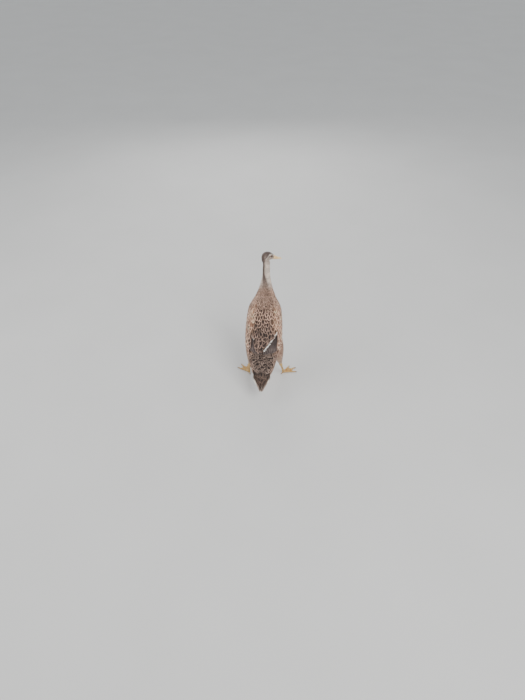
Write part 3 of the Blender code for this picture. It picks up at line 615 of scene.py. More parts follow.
def face_colours(run, side, rise):
    """Dark crown and nape, pale brow that bends down behind, dark line through the eye, streaked cheeks."""
    over_brow = rise - np.interp(run, BROW_RUNS, BROW_RISES)
    over_line = rise - np.interp(run, LINE_RUNS, LINE_RISES)
    aside = np.abs(side)
    beside = smooth_step(0.003, 0.006, aside)
    nape = (1.0 - smooth_step(0.008, 0.012, aside)) * (1.0 - smooth_step(-0.016, -0.006, run))
    crown = np.maximum(smooth_step(0.0010, 0.0034, over_brow), nape)
    line = bell(over_line, LINE_HALF) * smooth_step(-0.020, -0.008, run) * beside
    brow = bell(over_brow, BROW_HALF) * smooth_step(-0.030, -0.024, run) * beside * (1.0 - nape)
    face = blend_shades(crown, CHEEK, CROWN)
    face = blend_shades(line, face, EYE_LINE)
    return blend_shades(np.clip(brow, 0.0, 1.0), face, BROW)


def coat_colours(t, angle, points):
    """The dark and pale colours of the plumage, which its skin shares, and how far up the neck it is."""
    body, neck = body_colours(t, np.degrees(angle))
    run, side, rise = head_coordinates(points)
    head = smooth_step(0.398, 0.416, t) * smooth_step(-0.036, -0.020, run)
    head = head * smooth_step(-0.031, -0.021, rise)
    return blend_shades(head, body, face_colours(run, side, rise)), neck


def markings(t, angle, points):
    """Each feather's dark middle, pale edge and how strong its pattern is, by where it grows."""
    turn = np.degrees(np.abs(angle))
    count = len(points)
    coat, neck = coat_colours(t, angle, points)
    plain = np.maximum(smooth_step(0.26, 0.34, t), 0.75 * smooth_step(80, 110, turn))[:, None]
    tone = 1.0 + RANDOM.normal(0.0, 1.0, (count, 1)) * (0.34 - 0.24 * plain)
    pale = 1.0 + RANDOM.normal(0.0, 1.0, (count, 1)) * (0.24 - 0.12 * plain)
    return {
        "ink": np.clip(coat.ink * np.clip(tone, 0.40, 1.8), 0.0, 1.0),
        "rim": np.clip(coat.rim * np.clip(pale, 0.40, 1.5), 0.0, 1.0),
        "lace": 0.79 + 0.07 * neck - 0.05 * smooth_step(46, 70, turn) * (1.0 - neck),
        "pencil": (1.0 - neck) * 0.35 * smooth_step(0.03, 0.12, t),
        "band": np.zeros(count),
        "unwrap": unwrapped(t, angle),
    }


# Shader sums
class Wire:
    """A value in a material: sums with it add Math nodes."""

    def __init__(self, tree, socket):
        self.tree, self.socket = tree, socket

    def math(self, operation, first, second=None, clamp=False):
        node = self.tree.nodes.new("ShaderNodeMath")
        node.operation, node.use_clamp = operation, clamp
        feed(self.tree, node.inputs[0], first)
        if second is not None:
            feed(self.tree, node.inputs[1], second)
        return Wire(self.tree, node.outputs[0])

    def __add__(self, other):
        return self.math("ADD", self, other)

    def __radd__(self, other):
        return self.math("ADD", other, self)

    def __sub__(self, other):
        return self.math("SUBTRACT", self, other)

    def __rsub__(self, other):
        return self.math("SUBTRACT", other, self)

    def __mul__(self, other):
        return self.math("MULTIPLY", self, other)

    def __rmul__(self, other):
        return self.math("MULTIPLY", other, self)

    def __truediv__(self, other):
        return self.math("DIVIDE", self, other)

    def __pow__(self, other):
        return self.math("POWER", self, other)

    def __abs__(self):
        return self.math("ABSOLUTE", self)

    def sine(self):
        return self.math("SINE", self)

    def most(self, other):
        return self.math("MAXIMUM", self, other)

    def clamped(self):
        return self.math("ADD", self, 0.0, clamp=True)

    def between(self, low, high):
        """0 below low, 1 above high, and smooth in between."""
        node = self.tree.nodes.new("ShaderNodeMapRange")
        node.interpolation_type = "SMOOTHSTEP"
        for place, value in zip(node.inputs[:3], (self, low, high)):
            feed(self.tree, place, value)
        return Wire(self.tree, node.outputs[0])


def feed(tree, place, value):
    if isinstance(value, Wire):
        tree.links.new(value.socket, place)
    else:
        place.default_value = value


class Finish:
    """A material with one Principled surface, and short ways to add nodes to it."""

    def __init__(self, name, **fixed):
        self.material = bpy.data.materials.new(name)
        self.material.use_nodes = True
        self.tree = self.material.node_tree
        self.surface = self.tree.nodes["Principled BSDF"]
        for key, value in fixed.items():
            self.surface.inputs[key.replace("_", " ")].default_value = value

    def node(self, kind, values, output=0, **settings):
        node = self.tree.nodes.new("ShaderNode" + kind)
        for key, value in settings.items():
            setattr(node, key, value)
        for key, value in values.items():
            feed(self.tree, node.inputs[key], value)
        return Wire(self.tree, node.outputs[output])

    def mix(self, factor, low, high, blend="MIX"):
        node = self.tree.nodes.new("ShaderNodeMix")
        node.data_type, node.blend_type = "RGBA", blend
        feed(self.tree, node.inputs[0], factor)
        for place, value in zip((6, 7), (low, high)):
            feed(self.tree, node.inputs[place], value if isinstance(value, Wire) else (*value, 1.0))
        return Wire(self.tree, node.outputs[2])

    def attribute(self, name, output="Fac"):
        return self.node("Attribute", {}, output, attribute_name=name)

    def vane(self):
        """Across and along the feather: -1 to 1 from edge to edge, 0 to 1 from root to tip."""
        place = self.node("UVMap", {}, uv_map="Vane")
        across, up = (self.node("SeparateXYZ", {0: place}, k) for k in (0, 1))
        return across * 2.0 - 1.0, up

    def place(self):
        return self.node("TexCoord", {}, "Object")

    def noise(self, scale, detail=3.0, vector=None):
        values = {"Scale": scale, "Detail": detail, "Vector": vector or self.place()}
        return self.node("TexNoise", values)

    def bump(self, height, strength, distance):
        values = {"Height": height, "Strength": strength, "Distance": distance}
        self.feed("Normal", self.node("Bump", values))

    def feed(self, name, value):
        feed(self.tree, self.surface.inputs[name], value)


# Materials
BAR_WHITE, BAR_DARK, SHAFT_BROWN = paint(244, 237, 228), paint(48, 36, 31), paint(28, 20, 17)
# Painted shade: how much darker the down is drawn for lying under the feathers
PAINTED_SHADE_UNDER_FEATHERS = (0.78, 0.76, 0.75)
FULL_TURN = 2.0 * math.pi


def grey(level):
    return (level, level, level)


def laced(finish, across, up):
    """How far a place on a feather takes its edge's colour: the ragged rim, and the thin line inside it."""
    aside = abs(across)
    ragged = (finish.noise(700.0) - 0.5) * 0.26
    tip = (up - 0.5).most(0.0) * 1.85
    reach = (aside * aside + tip * tip) ** 0.5 + ragged
    rim = (reach - finish.attribute("lace") + 0.05).between(0.0, 0.20)
    rim = rim * (0.25 + 0.75 * up.between(0.25, 0.55))
    line = (1.0 - (abs(aside - 0.42) * 7.0).clamped()) * up.between(0.25, 0.5)
    return rim, line * (1.0 - up.between(0.72, 0.86)) * finish.attribute("pencil")


def barred(finish, colour, up):
    """A white bar over a dark one at the tips of the feathers that have them."""
    band = finish.attribute("band")
    has_bar = band.between(0.01, 0.02)
    dark = (up + band - 0.90).between(0.0, 0.04) * has_bar
    white = (up + band - 1.0).between(0.0, 0.02) * has_bar
    return finish.mix(white, finish.mix(dark, colour, BAR_DARK), BAR_WHITE)


def feather_finish(name, barbs, rough):
    """Dark middle, pale edge, a fainter pale line inside it, a shaft and fine barbs."""
    finish = Finish(name, Sheen_Weight=0.12, Sheen_Roughness=0.5, Specular_IOR_Level=0.25)
    across, up = finish.vane()
    aside = abs(across)
    rim, line = laced(finish, across, up)
    colour = finish.mix(
        (rim + line).clamped(), finish.attribute("ink", "Color"), finish.attribute("rim", "Color")
    )
    colour = barred(finish, colour, up)
    shaft = 1.0 - (aside * 22.0).clamped()
    colour = finish.mix(shaft * 0.35 * (1.0 - rim), colour, SHAFT_BROWN)
    patch = finish.mix(finish.noise(70.0, 2.0).between(0.3, 0.7), grey(0.6), grey(1.4))
    mottle = finish.noise(320.0, 4.0)
    colour = finish.mix(0.5, colour, patch, "MULTIPLY")
    colour = finish.mix(0.35, colour, finish.mix(mottle, grey(0.55), grey(1.35)), "MULTIPLY")
    finish.feed("Base Color", colour)
    barb = ((up * barbs - aside * barbs * 0.35) * FULL_TURN).sine() * 0.5 + 0.5
    finish.bump(barb * (1.0 - shaft) + shaft * 1.5, 0.35, 0.0002)
    finish.feed("Roughness", mottle * 0.2 + (rough - 0.1))
    return finish.material


def skin_finish():
    """Down in the plumage's own colours, with painted shade that makes it a little darker for lying under
    the feathers.
    """
    finish = Finish("down under the feathers", Roughness=0.9)
    share = finish.noise(330.0, 4.0).between(0.35, 0.70)
    colour = finish.mix(share, finish.attribute("ink", "Color"), finish.attribute("rim", "Color"))
    # Painted shade: the down's colour multiplied darker, as if shaded by the feathers over it
    finish.feed("Base Color", finish.mix(1.0, colour, PAINTED_SHADE_UNDER_FEATHERS, "MULTIPLY"))
    finish.bump(finish.noise(900.0, 4.0), 0.4, 0.0006)
    return finish.material


def bill_finish():
    """Pale yellow horn, cloudy, with fine darker flecks."""
    finish = Finish("bill horn", Specular_IOR_Level=0.4)
    cloud, fleck = finish.noise(45.0), finish.noise(420.0, 4.0)
    colour = finish.mix(cloud.between(0.35, 0.7), paint(255, 222, 166), paint(246, 200, 136))
    colour = finish.mix(fleck.between(0.55, 0.8) * 0.35, colour, paint(176, 152, 112))
    finish.feed("Base Color", colour)
    finish.feed("Roughness", fleck * 0.25 + 0.3)
    finish.bump(fleck, 0.15, 0.0005)
    return finish.material


def leg_finish():
    """Dull yellow-orange skin of small scales."""
    finish = Finish("leg skin", Specular_IOR_Level=0.35)
    values = {"Scale": 620.0, "Vector": finish.place()}
    scales = finish.node("TexVoronoi", values, "Distance", feature="DISTANCE_TO_EDGE")
    groove = 1.0 - scales.between(0.0, 0.10)
    cloud = finish.noise(60.0).between(0.35, 0.7)
    colour = finish.mix(cloud, paint(216, 180, 118), paint(196, 148, 88))
    colour = finish.mix(groove * 0.55, colour, paint(120, 84, 52))
    finish.feed("Base Color", colour)
    finish.feed("Roughness", groove * 0.2 + 0.45)
    finish.bump(scales.between(0.0, 0.14), 0.6, 0.0004)
    return finish.material


def claw_finish(name, dark, pale):
    finish = Finish(name, Roughness=0.4)
    finish.feed("Base Color", finish.mix(finish.noise(300.0), dark, pale))
    return finish.material


def lid_finish():
    """Bare skin, finely wrinkled."""
    finish = Finish("lid skin", Roughness=0.5)
    fine = finish.noise(1400.0)
    finish.feed("Base Color", finish.mix(fine, paint(96, 78, 68), paint(150, 130, 116)))
    finish.bump(fine, 0.5, 0.0002)
    return finish.material


def eye_finish(side):
    """Dark brown iris round a black pupil, under a clear wet coat."""
    finish = Finish("eye", Roughness=0.15, Specular_IOR_Level=0.3, Coat_Weight=0.6, Coat_Roughness=0.03)
    middle = eye_centre(side) + SHIFT
    axis = HEAD_AXES @ np.array([side, 0.0, 0.0])
    rel = finish.node("VectorMath", {0: finish.place(), 1: middle}, operation="SUBTRACT")
    depth = finish.node("VectorMath", {0: rel, 1: axis}, "Value", operation="DOT_PRODUCT")
    turn = depth / EYE_RADIUS
    colour = finish.mix(finish.noise(1500.0), paint(54, 30, 18), paint(92, 56, 32))
    colour = finish.mix(turn.between(0.66, 0.70), paint(30, 20, 16), colour)
    finish.feed("Base Color", finish.mix(turn.between(0.915, 0.93), colour, grey(0.003)))
    return finish.material


# Skin
Section = namedtuple("Section", "run half_width top bottom")
SKULL = (
    Section(-0.0310, 0.0040, 0.0040, -0.0080),
    Section(-0.0285, 0.0084, 0.0096, -0.0130),
    Section(-0.0220, 0.0124, 0.0150, -0.0170),
    Section(-0.0120, 0.0149, 0.0184, -0.0190),
    Section(0.0000, 0.0156, 0.0192, -0.0182),
    Section(0.0110, 0.0148, 0.0174, -0.0160),
    Section(0.0200, 0.0130, 0.0140, -0.0138),
    Section(0.0285, 0.0112, 0.0104, -0.0120),
    Section(0.0330, 0.0070, 0.0070, -0.0090),
)
SKULL_SQUARENESS = 0.92

# The folded wing's pad: its middle, its reach each way and its height over the body
WING_MIDDLE = (0.203, math.radians(59.0))
WING_REACH = (0.088, math.radians(46.0))
PAD_HEIGHT = 0.0055

# Legs, with the way that each foot points in degrees out from ahead
Leg = namedtuple("Leg", "name side knee hock ankle heading")
LEGS = (
    Leg("right", -1, (-0.0300, 0.0220, 0.2250), (-0.0660, 0.0350, 0.0780), (-0.0770, 0.0110, 0.0150), 58.0),
    Leg("left", 1, (0.0280, 0.0220, 0.2250), (0.0540, 0.0420, 0.0780), (0.0600, 0.0190, 0.0150), 40.0),
)

# The thigh's radius by how far down it is
THIGH_SHARES = (0.0, 0.2, 0.42, 0.62, 0.8, 0.92, 1.0)
THIGH_RADII = (0.026, 0.031, 0.031, 0.0260, 0.0178, 0.0118, 0.0082)
STUB_LENGTH = 0.034

# Balls that round off the throat, the neck behind it and the neck's top, as places and radii
THROAT = ((-0.010, 0.0, -0.013), (0.0142, 0.0162, 0.0152))
BEHIND_THROAT = ((-0.0125, -0.0020, -0.0160), (0.0117, 0.0117, 0.0157))
COLLAR = ((0.0, 0.0005, -0.0040), (0.0134, 0.0138, 0.0130))
SKIN_VOXEL, LEG_VOXEL = 0.0019, 0.00075


def sections(table, count, inset=0.0):
    """Many sections through a table's few, drawn in by inset."""
    keys = [s.run for s in table]
    values = [(s.half_width - inset, s.top - inset, s.bottom + inset) for s in table]
    runs = np.linspace(keys[0], keys[-1], count)
    return [Section(r, *v) for r, v in zip(runs, along(keys, values, runs))]


def swelled(x, power):
    """A sine or cosine with its sign kept and its size raised to a power."""
    return np.sign(x) * np.abs(x) ** power


def skull_rings():
    turns = around(36)
    across, upward = swelled(np.sin(turns), SKULL_SQUARENESS), swelled(np.cos(turns), SKULL_SQUARENESS)
    rings = []
    for s in sections(SKULL, 26, HEAD_DEPTH):
        middle, half = (s.top + s.bottom) / 2, (s.top - s.bottom) / 2
        rings.append(head_points(s.run, s.half_width * across, middle + half * upward))
    return rings


def pad_height(t, angle):
    """How far the folded wing stands over the body."""
    x = (t - WING_MIDDLE[0]) / WING_REACH[0]
    y = (np.abs(angle) - WING_MIDDLE[1]) / WING_REACH[1]
    return PAD_HEIGHT * np.sqrt(np.maximum(0.0, 1.0 - x * x - y * y))


def body_rings():
    turns = around(72)
    signed = (turns + math.pi) % (2 * math.pi) - math.pi
    rings = []
    for t in np.linspace(0.0, BODY.keys[-1], 110):
        depth = -SKIN_DEPTH + (SKIN_DEPTH - NECK_DEPTH) * smooth_step(0.28, 0.36, t)
        rings.append(BODY.point(np.full(len(turns), t), turns, depth + pad_height(t, signed)))
    return rings


def thigh_rings(leg):
    """Rings from the knee down to the hock."""
    knee, hock = np.array(leg.knee), np.array(leg.hock)
    fine = np.linspace(0, 1, 30)
    path = knee + (hock - knee) * fine[:, None]
    radii = along(THIGH_SHARES, np.array(THIGH_RADII)[:, None], fine)[:, 0]
    return lengthwise(path, radii - THIGH_DEPTH, 40)


def stub_rings():
    """The stub that the tail feathers grow from."""
    turns = around(40)
    half_width, upper, lower = BODY.sizes[0] - SKIN_DEPTH
    rings = []
    for share in np.linspace(-0.3, 1.0, 12):
        shrink = 1.0 - 0.62 * max(share, 0.0) - 0.20 * max(share, 0.0) ** 4
        side = half_width * shrink * np.sin(turns)
        rise = np.where(np.cos(turns) > 0, upper, lower) * shrink * np.cos(turns)
        rings.append(tail_points(side, np.full(len(turns), share * STUB_LENGTH), rise))
    return rings


def make_skin():
    """One skin over body, head, thighs and tail stub, with the plumage's colours and unwrap."""
    collar = ball(BODY.axis(BODY.keys[-1])[0][0] + np.array(COLLAR[0]), COLLAR[1])
    shells = [body_rings(), skull_rings(), head_ball(*THROAT), head_ball(*BEHIND_THROAT), collar]
    shells.append(stub_rings())
    shells += [thigh_rings(leg) for leg in LEGS]
    skin = blended("skin", shells, SKIN_VOXEL, 5)
    surface = Surface(skin)
    t, angle = BODY.place_of(surface.points)
    corners = np.empty(len(skin.data.loops), np.int32)
    skin.data.loops.foreach_get("vertex_index", corners)
    write_map(skin.data, "OFBake", unwrapped(t, angle)[corners])
    coat, _ = coat_colours(t, angle, surface.points)
    write_colours(skin.data, "ink", coat.ink)
    write_colours(skin.data, "rim", coat.rim)
    dress(skin, skin_finish(), "plumage", "torso", "neck", "head", "thigh_left", "thigh_right")
    return surface


# Small feathers: where the coats of head, neck, body and thigh begin and end
HEAD_ABOVE, HEAD_AHEAD_OF, CROWN_ABOVE = 0.436, -0.024, -0.004
THIGH_BELOW, THIGH_AHEAD_OF = 0.20, 0.03
NECK_COAT_FROM, BODY_COAT_TO, COAT_EDGE_RAGGED = 0.288, 0.300, 0.008
COVERED_FROM, COVERED_TO, COVERED_TURN = 0.106, 0.262, 106
SIDE_LINE = 110
BARE_BY_EYE = 0.0014
FOREHEAD_END = 0.0290
DOWN_THIGH = np.array([0.0, 0.14, -1.0])


def region_of(points):
    """Which part of the skin a point is on: distance along the axis, degrees from the back, head, thigh."""
    t, angle = BODY.place_of(points)
    run, _, rise = head_coordinates(points)
    head = (points[:, 2] > HEAD_ABOVE) & ((run > HEAD_AHEAD_OF) | (rise > CROWN_ABOVE))
    reach = along(BODY.keys, BODY.sizes, t)
    away = np.linalg.norm(points - BODY.axis(t)[0], axis=1)
    beyond = away > np.maximum(reach[:, 0], reach[:, 2]) * 1.06 + 0.003
    thigh = beyond & (points[:, 2] < THIGH_BELOW) & (t > THIGH_AHEAD_OF)
    return t, np.degrees(np.abs(angle)), head, thigh


def lie_of_coat(points):
    """Backwards over the head, down the neck and body to the tail, and down the thighs."""
    t, _, head, thigh = region_of(points)
    _, direction, _ = BODY.axis(t)
    run, _, rise = head_coordinates(points)
    back_of_head = HEAD_AXES @ np.array([0.0, 1.0, 0.0])
    chin = smooth_step(0.004, 0.022, run) * smooth_step(-0.024, -0.014, rise)
    face = np.maximum(chin, smooth_step(-0.012, 0.006, rise) * smooth_step(-0.024, 0.002, run))
    turned = (face * head)[:, None]
    flow = -direction * (1.0 - turned) + (back_of_head - 0.25 * direction) * turned
    return np.where(thigh[:, None], DOWN_THIGH, flow)


def eye_centre(side):
    """The middle of an eye: 1 for the left one, and -1 for the right one."""
    return head_points(EYE_RUN, side * (EYE_SIDE - EYE_SET_IN), EYE_RISE)


def near_eye(points, reach):
    """Which points are within reach of the middle of an eye."""
    close = np.zeros(len(points), bool)
    for side in (-1, 1):
        close |= np.linalg.norm(points - eye_centre(side), axis=1) < reach
    return close


def head_coat(points):
    run, _, _ = head_coordinates(points)
    return region_of(points)[2] & ~near_eye(points, EYE_RADIUS + BARE_BY_EYE) & (run < FOREHEAD_END)


def neck_coat(points):
    t, _, head, thigh = region_of(points)
    edge = NECK_COAT_FROM + RANDOM.normal(0.0, COAT_EDGE_RAGGED, len(t))
    return (t >= edge) & ~head & ~thigh


def body_coat(points, dorsal):
    """The upper or the under side of the body, without what the coverts hide."""
    t, turn, head, thigh = region_of(points)
    covered = (t > COVERED_FROM) & (t < COVERED_TO) & (turn < COVERED_TURN)
    low = t < BODY_COAT_TO + RANDOM.normal(0.0, COAT_EDGE_RAGGED, len(t))
    return low & ~head & ~thigh & ~covered & ((turn < SIDE_LINE) == dorsal)


def back_coat(points):
    return body_coat(points, True)


def breast_coat(points):
    return body_coat(points, False)


def thigh_coat(points):
    return region_of(points)[3]


def head_spacing(points):
    run, _, _ = head_coordinates(points)
    return 0.00095 + 0.00035 * (1.0 - smooth_step(-0.01, 0.02, run))


def neck_spacing(points):
    return 0.0043 - 0.0028 * smooth_step(0.290, 0.375, BODY.place_of(points)[0])


def body_spacing(points):
    t, _ = BODY.place_of(points)
    towards_neck, at_rump = smooth_step(0.25, 0.325, t), 1.0 - smooth_step(0.0, 0.03, t)
    return 0.0032 + 0.0024 * (1.0 - towards_neck) - 0.0016 * at_rump


def thigh_spacing(points):
    return 0.0024 + 0.012 * np.clip(points[:, 2] - 0.09, 0.0, 0.10)


# Length, width, lift and overlap, which lifts the lowest neck feathers over the coverts, are in spacings
Plumage = namedtuple("Plumage", "name tries keep spacing length width lift overlap fine")
PLUMAGE = (
    Plumage("head_feathers", 44000, head_coat, head_spacing, 4.0, 1.3, 0.42, 0.0, True),
    Plumage("neck_feathers", 36000, neck_coat, neck_spacing, 3.9, 2.0, 0.46, 0.65, True),
    Plumage("back_feathers", 24000, back_coat, body_spacing, 3.2, 1.9, 0.42, 0.0, False),
    Plumage("breast_feathers", 24000, breast_coat, body_spacing, 3.2, 1.9, 0.42, 0.0, False),
    Plumage("thigh_feathers", 24000, thigh_coat, thigh_spacing, 3.4, 1.8, 0.45, 0.0, True),
)


def make_small_feathers(surface, finish, fine_finish):
    """The plumage that grows from the skin, one piece for each part of the body."""
    for kind in PLUMAGE:
        roots = surface.scatter(kind.tries, kind.spacing, kind.keep)
        size = kind.spacing(roots)
        vary = RANDOM.normal(1.0, 0.07, len(roots))
        length, width = size * kind.length * vary, size * kind.width * vary
        low = 1.0 - smooth_step(0.285, 0.325, BODY.place_of(roots)[0])
        lift = size * (kind.lift + kind.overlap * low)
        piece = contour_feathers(kind.name, surface, roots, lie_of_coat, length, width, lift, kind.fine)
        dress(piece, fine_finish if kind.fine else finish, "plumage")


# Wings: rows of flight feathers, whose roots and tips are (distance along the axis, degrees from the back)
Tier = namedtuple("Tier", "name count outer_root inner_root outer_tip inner_tip half level shape look")
Look = namedtuple("Look", "ink rim lace pencil band")
FLIGHT = Look(*shade((78, 64, 58), (128, 110, 98)), 0.86, 0.0, 0.0)
SPECULUM = Look(*shade((68, 57, 54), (108, 94, 89)), 0.90, 0.0, 0.012)
BARRED = Look(*shade((66, 49, 43), (112, 92, 81)), 0.90, 0.0, 0.095)
PENCILLED = Look(*shade((52, 34, 28), (172, 138, 118)), 0.76, 0.75, 0.0)
TIERS = (
    Tier("primaries", 7, (0.146, 70), (0.132, 46), (0.078, 48), (0.060, 14),
         0.0068, 0.0034, POINTED, FLIGHT),
    Tier("secondaries", 11, (0.176, 82), (0.138, 36), (0.092, 74), (0.070, 7),
         0.0078, 0.0062, SQUARE, SPECULUM),
    Tier("greater_coverts", 30, (0.206, 70), (0.150, 30), (0.160, 54), (0.081, 5),
         0.0042, 0.0084, SQUARE, BARRED),
    Tier("tertials", 5, (0.166, 44), (0.190, 18), (0.122, 26), (0.092, 4),
         0.0076, 0.0098, POINTED, PENCILLED),
)
LEAST_ANGLE = math.radians(0.6)
TIER_TILT = 0.0010
TIER_ROOT_SUNK = 0.0022
LAID_BOW = 0.08


def laid_vanes(root, tip, half, shape, level, weave, least=None):
    """Vanes laid along the torso from root to tip, as (distance, angle); level gives their height."""
    steps, columns = weave.steps, weave.columns
    (t0, a0), (t1, a1) = [(t[:, None], a[:, None]) for t, a in (root, tip)]
    side = np.sign(a0)
    t, angle = t0 + (t1 - t0) * steps, a0 + (a1 - a0) * steps
    lengths = [np.linalg.norm(v, axis=-1) for v in BODY.tangents(t, angle)]
    ahead_t, ahead_a = (t1 - t0) * lengths[0], (a1 - a0) * lengths[1]
    size = np.hypot(ahead_t, ahead_a)
    out = half[:, None, None] * outline(shape, steps)[None, :, None] * columns
    t = t[..., None] + (-side * ahead_a / size / lengths[0])[..., None] * out
    angle = angle[..., None] + (side * ahead_t / size / lengths[1])[..., None] * out
    if least is not None:
        angle = side[..., None] * np.maximum(least, side[..., None] * angle)
    height = level(t, angle, steps[None, :, None])
    grid = BODY.point(t, angle, height - LAID_BOW * half[:, None, None] * columns**2)
    _, _, back = BODY.axis(t[:, :, len(columns) // 2].ravel())
    middle = angle[:, :, len(columns) // 2].ravel()[:, None]
    facing = back * np.cos(middle) + np.array([1.0, 0.0, 0.0]) * np.sin(middle)
    return grid, facing.reshape(*t.shape[:2], 3)


def tier_vanes(tier, side):
    """Roots, tips and half widths of one row, from the outermost feather to the innermost."""
    share = np.linspace(0, 1, tier.count)
    ends = []
    for outer, inner in ((tier.outer_root, tier.inner_root), (tier.outer_tip, tier.inner_tip)):
        t = outer[0] + (inner[0] - outer[0]) * share + RANDOM.normal(0.0, 0.0006, tier.count)
        angle = np.radians(outer[1] + (inner[1] - outer[1]) * share)
        ends.append((t, side * (angle + RANDOM.normal(0.0, 0.006, tier.count))))
    return *ends, tier.half * RANDOM.normal(1.0, 0.04, tier.count)


def tier_looks(look, t, angle):
    count = len(t)
    tone = RANDOM.normal(1.0, 0.08, (count, 1))
    looks = {key: np.full(count, getattr(look, key)) for key in ("lace", "pencil", "band")}
    looks["ink"], looks["rim"] = np.clip(look.ink * tone, 0, 1), np.clip(look.rim * tone, 0, 1)
    looks["unwrap"] = unwrapped(t, angle)
    return looks


def make_flight_feathers(name, side, finish):
    for tier in TIERS:
        def level(t, angle, u):
            risen = np.minimum(1.0, u / 0.5)
            low = pad_height(t, angle) - TIER_ROOT_SUNK
            return np.maximum(low * (1 - risen) + tier.level * risen + TIER_TILT * LONG.columns, -0.001)

        root, tip, half = tier_vanes(tier, side)
        grid, out = laid_vanes(root, tip, half, tier.shape, level, LONG, LEAST_ANGLE)
        looks = tier_looks(tier.look, *root)
        looks["band"] *= (1.0 if side < 0 else 0.75) * np.linspace(1.0, 0.6, tier.count)
        piece = vane_mesh(f"{name}_{tier.name}", grid, out, LONG, looks)
        dress(piece, finish, "wing_plumage", name)


# Coverts, scapulars and flank feathers over the flight feathers
COVERT_TRIES = 15000
COVERT_SPACING = 0.0057
COVERT_LENGTH = 0.0330
COVERT_HALF = 0.0050
COVERT_DRAWN_OUT = 0.46

# How near the tail a covert's tip may come, by degrees from the back: along the white bar, where the left
# wing's scapulars hide more of it, and beyond where the flank starts
BAR_TURNS = (0.0, 5.0, 15.0, 42.0, 50.0)
BAR_LIMITS = (0.0838, 0.0850, 0.1035, 0.1475, 0.1582)
LEFT_TURNS = (0.0, 4.0, 16.0, 23.0, 28.0)
LEFT_HIDDEN = (0.010, 0.020, 0.038, 0.034, 0.0)
LEFT_BARED = 0.006
RIGHT_FLANK_START, LEFT_FLANK_START = 51.0, 40.0
FLANK_TURNS = (0.0, 3.5, 35.0, 80.0)
FLANK_LIMITS = (0.150, 0.086, 0.076, 0.090)


def covert_rise(t, turn):
    """How far the layer that hides the feathers' roots stands over the body."""
    front = 1.0 - smooth_step(0.240, 0.298, t)
    low = 1.0 - smooth_step(86.0, 124.0, turn)
    beside = smooth_step(46.0, 58.0, turn)
    rear = smooth_step(0.050, 0.120, t) * beside + (1.0 - beside)
    edge = beside * (1.0 - smooth_step(58.0, 72.0, turn)) * (1.0 - smooth_step(0.150, 0.185, t))
    return (0.0104 - 0.0010 * beside - 0.0014 * edge) * front * low * rear


def covert_limit(side, turn):
    """The limit of the tips on either side."""
    bar = np.interp(turn, BAR_TURNS, BAR_LIMITS)
    bar = bar + (LEFT_BARED - np.interp(turn, LEFT_TURNS, LEFT_HIDDEN)) * (side > 0)
    start = np.where(side > 0, LEFT_FLANK_START, RIGHT_FLANK_START)
    flank = np.interp(turn - start, FLANK_TURNS, FLANK_LIMITS)
    return np.where(turn < start, bar, flank)


def covert_places():
    """Roots and tips as (distance, angle), and half widths, with room between the roots."""
    t0 = RANDOM.uniform(0.095, 0.304, COVERT_TRIES)
    a0 = np.radians(RANDOM.uniform(-122.0, 122.0, COVERT_TRIES))
    grow = 1.0 - 0.45 * smooth_step(0.225, 0.300, t0)
    t1 = t0 - COVERT_LENGTH * grow * RANDOM.normal(1.0, 0.06, COVERT_TRIES)
    inward = np.sign(a0) * np.minimum(np.abs(a0), 1.0) * 0.10
    a1 = a0 - inward + RANDOM.normal(0.0, 0.035, COVERT_TRIES)
    turn = np.degrees(np.abs(a1))
    ragged = np.where(turn < 52, 0.0004, 0.0050)
    beyond = t1 - covert_limit(np.sign(a1), turn) - RANDOM.normal(0.0, 1.0, COVERT_TRIES) * ragged
    from_bar = smooth_step(0.003, 0.014, beyond + 0.02 * (turn > 50))
    half = COVERT_HALF * grow * (0.70 + 0.30 * from_bar)
    kept = beyond > 0.0
    t0, t1, a0, a1, grow, half = (v[kept] for v in (t0, t1, a0, a1, grow, half))
    aside = a0 * along(BODY.keys, BODY.sizes, t0)[:, 0]
    drawn = t0 * COVERT_DRAWN_OUT + 4.5 * np.maximum(t0 - 0.230, 0.0) ** 2
    chosen = spaced(np.stack([drawn, aside, 0.0 * t0], 1), COVERT_SPACING * grow)
    return (v[chosen] for v in (t0, a0, t1, a1, half))


def covert_level(t, angle, u):
    sunk = 0.0018 + 0.0016 * smooth_step(0.268, 0.288, t)
    return covert_rise(t, np.degrees(np.abs(angle))) - sunk + 0.0038 * u**LIFT_CURVE


def make_coverts(finish):
    t0, a0, t1, a1, half = covert_places()
    for name, side in (("wing_right", -1), ("wing_left", 1)):
        own = np.sign(a0) == side
        root, tip = (t0[own], a0[own]), (t1[own], a1[own])
        wide = half[own] * RANDOM.normal(1.0, 0.06, own.sum())
        grid, out = laid_vanes(root, tip, wide, ROUND, covert_level, BROAD)
        looks = markings(*root, grid[:, 0, len(BROAD.columns) // 2])
        piece = vane_mesh(f"{name}_coverts", grid, out, BROAD, looks)
        dress(piece, finish, "wing_plumage", name)


